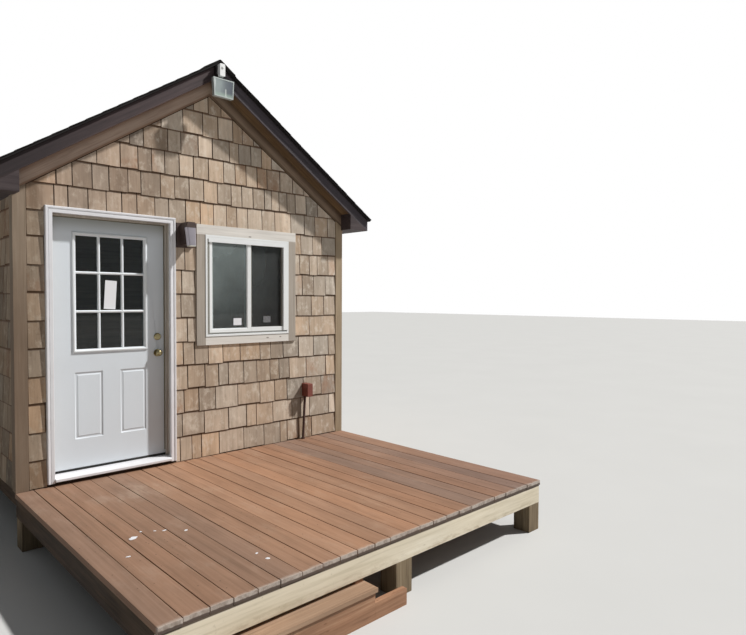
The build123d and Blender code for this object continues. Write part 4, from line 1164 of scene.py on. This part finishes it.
frame_profile = [(0.0, -0.07), (0.0, 0.0068), (0.0012, 0.008), (0.0168, 0.008), (0.0184, 0.0066),
                 (0.019, -0.013), (0.0316, -0.013), (0.0316, -0.07)]
window_ring = Shape(41)
ring(window_ring, face, *WINDOW, frame_profile)
for sizes in ((FIXED_STILE, 0.84, 1.5195, 2.387, 0.0079, -0.013),
              (-0.018, 0.84, HEAD_LIP, 2.3725, 0.0078, -0.002),
              (-0.034, 0.84, 2.3715, 2.387, 0.0077, -0.002),
              (MEETING[1] + 0.0005, 0.81, 1.5195, SILL_RAIL, -0.0032, -0.013)):
    window_box(window_ring, *sizes)
window_ring.build("window_outer_frame", "cabin", ["window_vinyl"], ["window_frame"],
                  smooth=30)

sash_profile = [(0.0, -0.022), (0.0, -0.0015), (0.05, 0.0), (0.74, 0.0), (0.79, -0.0012), (0.83, -0.005),
                (0.96, -0.0072), (1.0, -0.0085), (1.0, -0.022)]
sashes = Shape(42)
for low, high, stiles, set_back in ((-0.018, MEETING[1], (0.05, 0.05), -0.004),
                                    (MEETING[0], 0.826, (0.05, 0.03), -0.03)):
    ring(sashes, face, low, high, SASH_LOW, SASH_HIGH, sash_profile, stiles + SASH_RAILS, set_back)
sashes.build("window_sliding_sashes", "cabin", ["window_vinyl"], ["window_sashes"],
             smooth=30)

# Grey track seals left of and under the sashes: partly the seals' own grey, partly painted shade in the
# groove
seals = Shape(46)
window_box(seals, -0.03, -0.0065, 1.5055, 2.373, -0.002, -0.0125)
window_box(seals, -0.0065, 0.826, 1.5105, 1.519, -0.002, -0.0125)
seals.build("window_seals_and_groove_shade", "cabin", ["grey_seal_and_groove_shade"], bevel=0.0006)

# The screen's frame takes the same grey, partly as painted shade on the reveal beside it
screen_profile = [(0.0, -0.028), (0.0, -0.0165), (0.0015, -0.015), (0.0115, -0.015), (0.013, -0.0165),
                  (0.013, -0.028)]
screen_frame = Shape(45)
ring(screen_frame, face, *SCREEN, screen_profile)
screen_frame.build("window_screen_frame", "cabin", ["grey_seal_and_groove_shade"], smooth=30)

screen = Shape(43)
for near, far, low, high, depth, upright in ((*SCREEN, SCREEN_DEPTH, True),
                                             (*SCREEN[2:], *SCREEN[:2], SCREEN_DEPTH - WIRE, False)):
    for step in range(5, int((far - near) / WIRE_STEP) - 3):
        place = near + step * WIRE_STEP
        points = []
        for end in (low + SCREEN_EDGE, high - SCREEN_EDGE):
            for aside, out in ((-WIRE, 0), (0, -WIRE), (WIRE, 0)):
                u, v = (place + aside, end) if upright else (end, place + aside)
                points.append(face.at(u, v, depth + out))
        screen.solid(points, [(0, 1, 2), (5, 4, 3), (0, 3, 4, 1), (1, 4, 5, 2), (2, 5, 3, 0)])
screen.build("window_screen", "cabin", ["insect_screen"])

stickers = Shape(44)
window_box(stickers, 0.24, 0.325, 1.582, 1.648, -0.0072, -0.0076)
window_box(stickers, 0.585, 0.668, 1.6, 1.662, -0.0332, -0.0336)
stickers.build("window_stickers", "cabin", ["plain_paper"])

# Lantern: tapered frosted shade under the hood
LANTERN_X = -0.248
SHADE_TOP, SHADE_LOW = 2.442, 2.277
SHADE_NEAR, SHADE_FAR = -0.7376, -0.7924
SHADE_HALF, SHADE_TAPER, SHADE_LEAN = 0.042, 0.009, 0.025
OUTER_RADIUS, INNER_RADIUS = 0.012, 0.009
CORNER_TURNS = 4


def shade_ring(share, inset, radius):
    """A rounded rectangle, share of the way down the shade, drawn in by an inset."""
    height = SHADE_TOP + (SHADE_LOW - SHADE_TOP) * share
    side = SHADE_HALF - SHADE_TAPER * share - inset - radius
    near = SHADE_NEAR - SHADE_LEAN * share - inset - radius
    far = SHADE_FAR - SHADE_LEAN * share + inset + radius
    loop = []
    for x, y, first in ((side, near, 0.0), (-side, near, 0.5), (-side, far, 1.0), (side, far, 1.5)):
        for step in range(CORNER_TURNS + 1):
            angle = math.pi * (first + 0.5 * step / CORNER_TURNS)
            loop.append((LANTERN_X + x + radius * math.cos(angle), y + radius * math.sin(angle), height))
    return loop


shade_rings = [shade_ring(share, inset, OUTER_RADIUS) for share, inset in
               ((1.0, 0.004), (0.985, 0.001), (0.95, 0.0004), (0.6, 0.0003), (0.3, 0.0003), (0.0, 0.0003))]
shade_rings += [shade_ring(share, inset, INNER_RADIUS) for share, inset in
                ((0.0, 0.0033), (0.5, 0.0033), (0.95, 0.0036), (0.975, 0.006))]
shade = Shape(51)
shade.rings(shade_rings)
# The band at the glass's foot takes the pale rim, a painted highlight
rim = 2 * len(shade_rings[0])
shade.kinds[:rim] = [1] * rim
shade.kinds[-2] = 1
shade.build("lantern_shade", "cabin", ["frosted_glass", "frosted_rim"], ["lantern_glass"],
            smooth=40)

# Floodlight: the sensor's eye
SENSOR_FRONT = RAKE_FRONT - 0.035 - 0.042
EYE_HEIGHT = 3.838
EYE_RINGS = ((-0.002, 0.0105), (0.003, 0.01), (0.0056, 0.0075), (0.0064, 0.003))
EYE_TURNS = [(math.cos(math.pi * k / 10), math.sin(math.pi * k / 10)) for k in range(20)]
eye = Shape(52)
eye.rings([[(radius * across, SENSOR_FRONT - out, EYE_HEIGHT + radius * up) for across, up in EYE_TURNS]
           for out, radius in EYE_RINGS])
eye.build("sensor_eye", "cabin", ["sensor_eye"], smooth=60)

# Roof: tabbed courses and cap shingles inside the CAD layers. A tab's edges give its underside and top.
EXPOSURE = 0.143
TAB_WIDTH = 0.305
SLOT = 0.006
SHEET = 0.008
HEAD_LAP = 0.022
TAB_BUTT, TAB_HEAD = (0.0047, 0.0079), (0.0009, 0.0045)
CAP_REACH = 0.1495
CAP_STEP = 0.135
CAP_RUN = ((-CAP_REACH, CAP_REACH), (-0.012, 0.012), (0.0, 0.004), (0.012, 0.012), (CAP_REACH, CAP_REACH))
base_peak = RIDGE - SHEET / ALONG
slope_length = ROOF_X / ALONG


def slope_solid(shape, side, spans, y0, y1, tint):
    """A flat solid on a slope. spans gives (down, underside, top) for its lower and upper edges."""
    points = []
    for y in (y0, y1):
        for down, *heights in spans:
            for height in heights:
                x = down * ALONG + height * RISE
                points.append((side * x, y, base_peak - down * RISE + height * ALONG))
    faces = [(0, 1, 3, 2), (4, 6, 7, 5), (0, 4, 5, 1), (2, 3, 7, 6), (1, 5, 7, 3), (0, 2, 6, 4)]
    shape.solid(points, faces, NORTH, Vector((side * ALONG, 0, -RISE)), tint)


roof = Shape(61)
roof_rng = random.Random(61)
for side in (-1, 1):
    sheet = ((slope_length - 0.004, 0.0001, 0.0007), (0.001, 0.0001, 0.0007))
    slope_solid(roof, side, sheet, ROOF_FRONT + 0.004, ROOF_BACK - 0.004, (0.4, 0.5))
    course = 0
    butt = slope_length - 0.0055
    while butt > 0.03:
        head = max(0.002, butt - EXPOSURE - HEAD_LAP)
        start = ROOF_FRONT - TAB_WIDTH * ((course * 0.5 + 0.2) % 1.0)
        while start < ROOF_BACK:
            y0 = max(start + SLOT / 2, ROOF_FRONT + roof_rng.uniform(0.0, 0.004))
            y1 = min(start + TAB_WIDTH - SLOT / 2, ROOF_BACK - roof_rng.uniform(0.0, 0.004))
            start += TAB_WIDTH
            if y1 - y0 < 0.012:
                continue
            low = butt - roof_rng.uniform(0.0, 0.0025)
            tone = 0.5 * min(1.3, max(0.72, roof_rng.gauss(1.0, 0.12)))
            slope_solid(roof, side, ((low, *TAB_BUTT), (head, *TAB_HEAD)), y0, y1, (tone, 0.5))
        butt -= EXPOSURE
        course += 1
roof.build("roof_tab_shingles", "cabin", ["asphalt_shingle"], ["roof_shingles"])


def cap_edge(place, height):
    """A cap shingle's points across the ridge, at a height square over the sheathing."""
    return [(x, place, base_peak - fall * PITCH + height / ALONG) for x, fall in CAP_RUN]


caps = Shape(62)
y = ROOF_FRONT + 0.0005
while y < ROOF_BACK - 0.02:
    far = min(y + CAP_STEP + 0.02, ROOF_BACK - 0.0005)
    rings = [cap_edge(place, top) + cap_edge(place, under)[::-1]
             for place, top, under in ((y, 0.01395, 0.0112), (far, 0.0109, 0.0082))]
    caps.rings(rings, along=NORTH, across=EAST, tint=(0.5 * roof_rng.uniform(0.85, 1.15), 0.5))
    y += CAP_STEP
caps.build("ridge_cap_shingles", "cabin", ["asphalt_shingle"], ["ridge_cap"])

# CAD nodes that stay: their material, the width of their softened edges, and their names
DRESS = (
    ("cast_concrete", 0.004, "foundation_blocks"),
    ("old_timber_Y", 0.003, "floor_skids"),
    # The deck's side boards: dark old timber, partly their own wood and partly painted shade of the deck's
    # left side
    ("old_timber_Y", 0.002, "floor_rim_boards deck_joists deck_side_boards"),
    ("old_timber_X", 0.002, "floor_joists"),
    ("floor_boards", 0, "cabin_floor"),
    ("wall_sheathing", 0, "front_wall_left front_wall_right front_gable back_wall left_wall right_wall"),
    ("taupe_board", 0.002, "corner_boards"),
    ("taupe_slope_board", 0.002, "frieze_boards"),
    ("lumber_X", 0.002, "rafters"),
    ("lumber_Y", 0.002, "ridge_board"),
    ("roof_sheathing", 0, "roof_deck"),
    ("rake_board", 0.002, "rake_boards_left rake_boards_right"),
    ("soffit_board", 0.001, "rake_soffits"),
    ("dark_board_x", 0.002, "cornice_returns"),
    ("dark_board_x", 0.001, "return_soffits"),
    ("dark_board_y", 0.002, "eave_fascias"),
    ("dark_board_y", 0.001, "eave_soffits"),
    ("jamb_paint", 0.0015, "door_frame door_stops"),
    ("casing_paint", 0.0025, "door_sill"),
    ("door_paint", 0.001, "door_slab"),
    ("clear_glass", 0, "door_glass"),
    ("brass", 0, "door_knob door_knob_roses door_deadbolt"),
    ("hinge_steel", 0, "door_hinges door_hinge_leaves"),
    ("window_pane", 0, "window_glass"),
    ("window_side_board", 0.002, "window_side_casings"),
    ("window_head_board", 0.002, "window_head_and_apron"),
    ("lantern_enamel", 0.0015, "lantern_body"),
    ("outlet_paint", 0.003, "outlet_box"),
    ("conduit_paint", 0.001, "outlet_conduit"),
    ("black_metal", 0.002, "flood_base"),
    ("sensor_plastic", 0.002, "flood_sensor"),
    ("lamp_metal", 0.0015, "flood_lamp"),
    ("flood_glass", 0.0005, "flood_lens"),
    ("cream_rim", 0.002, "deck_rim_boards"),
    ("post_timber", 0.003, "deck_posts"),
    ("step_plank", 0.0025, "step_treads"),
    ("step_timber_X", 0.002, "step_frame step_base_plank"),
    ("step_timber_Y", 0.002, "step_ends"),
)
for material, width, names in DRESS:
    for name in names.split():
        for material_slot in nodes[name].material_slots:
            material_slot.material = M[material]
        if width:
            soften(nodes[name], width, weld=True)
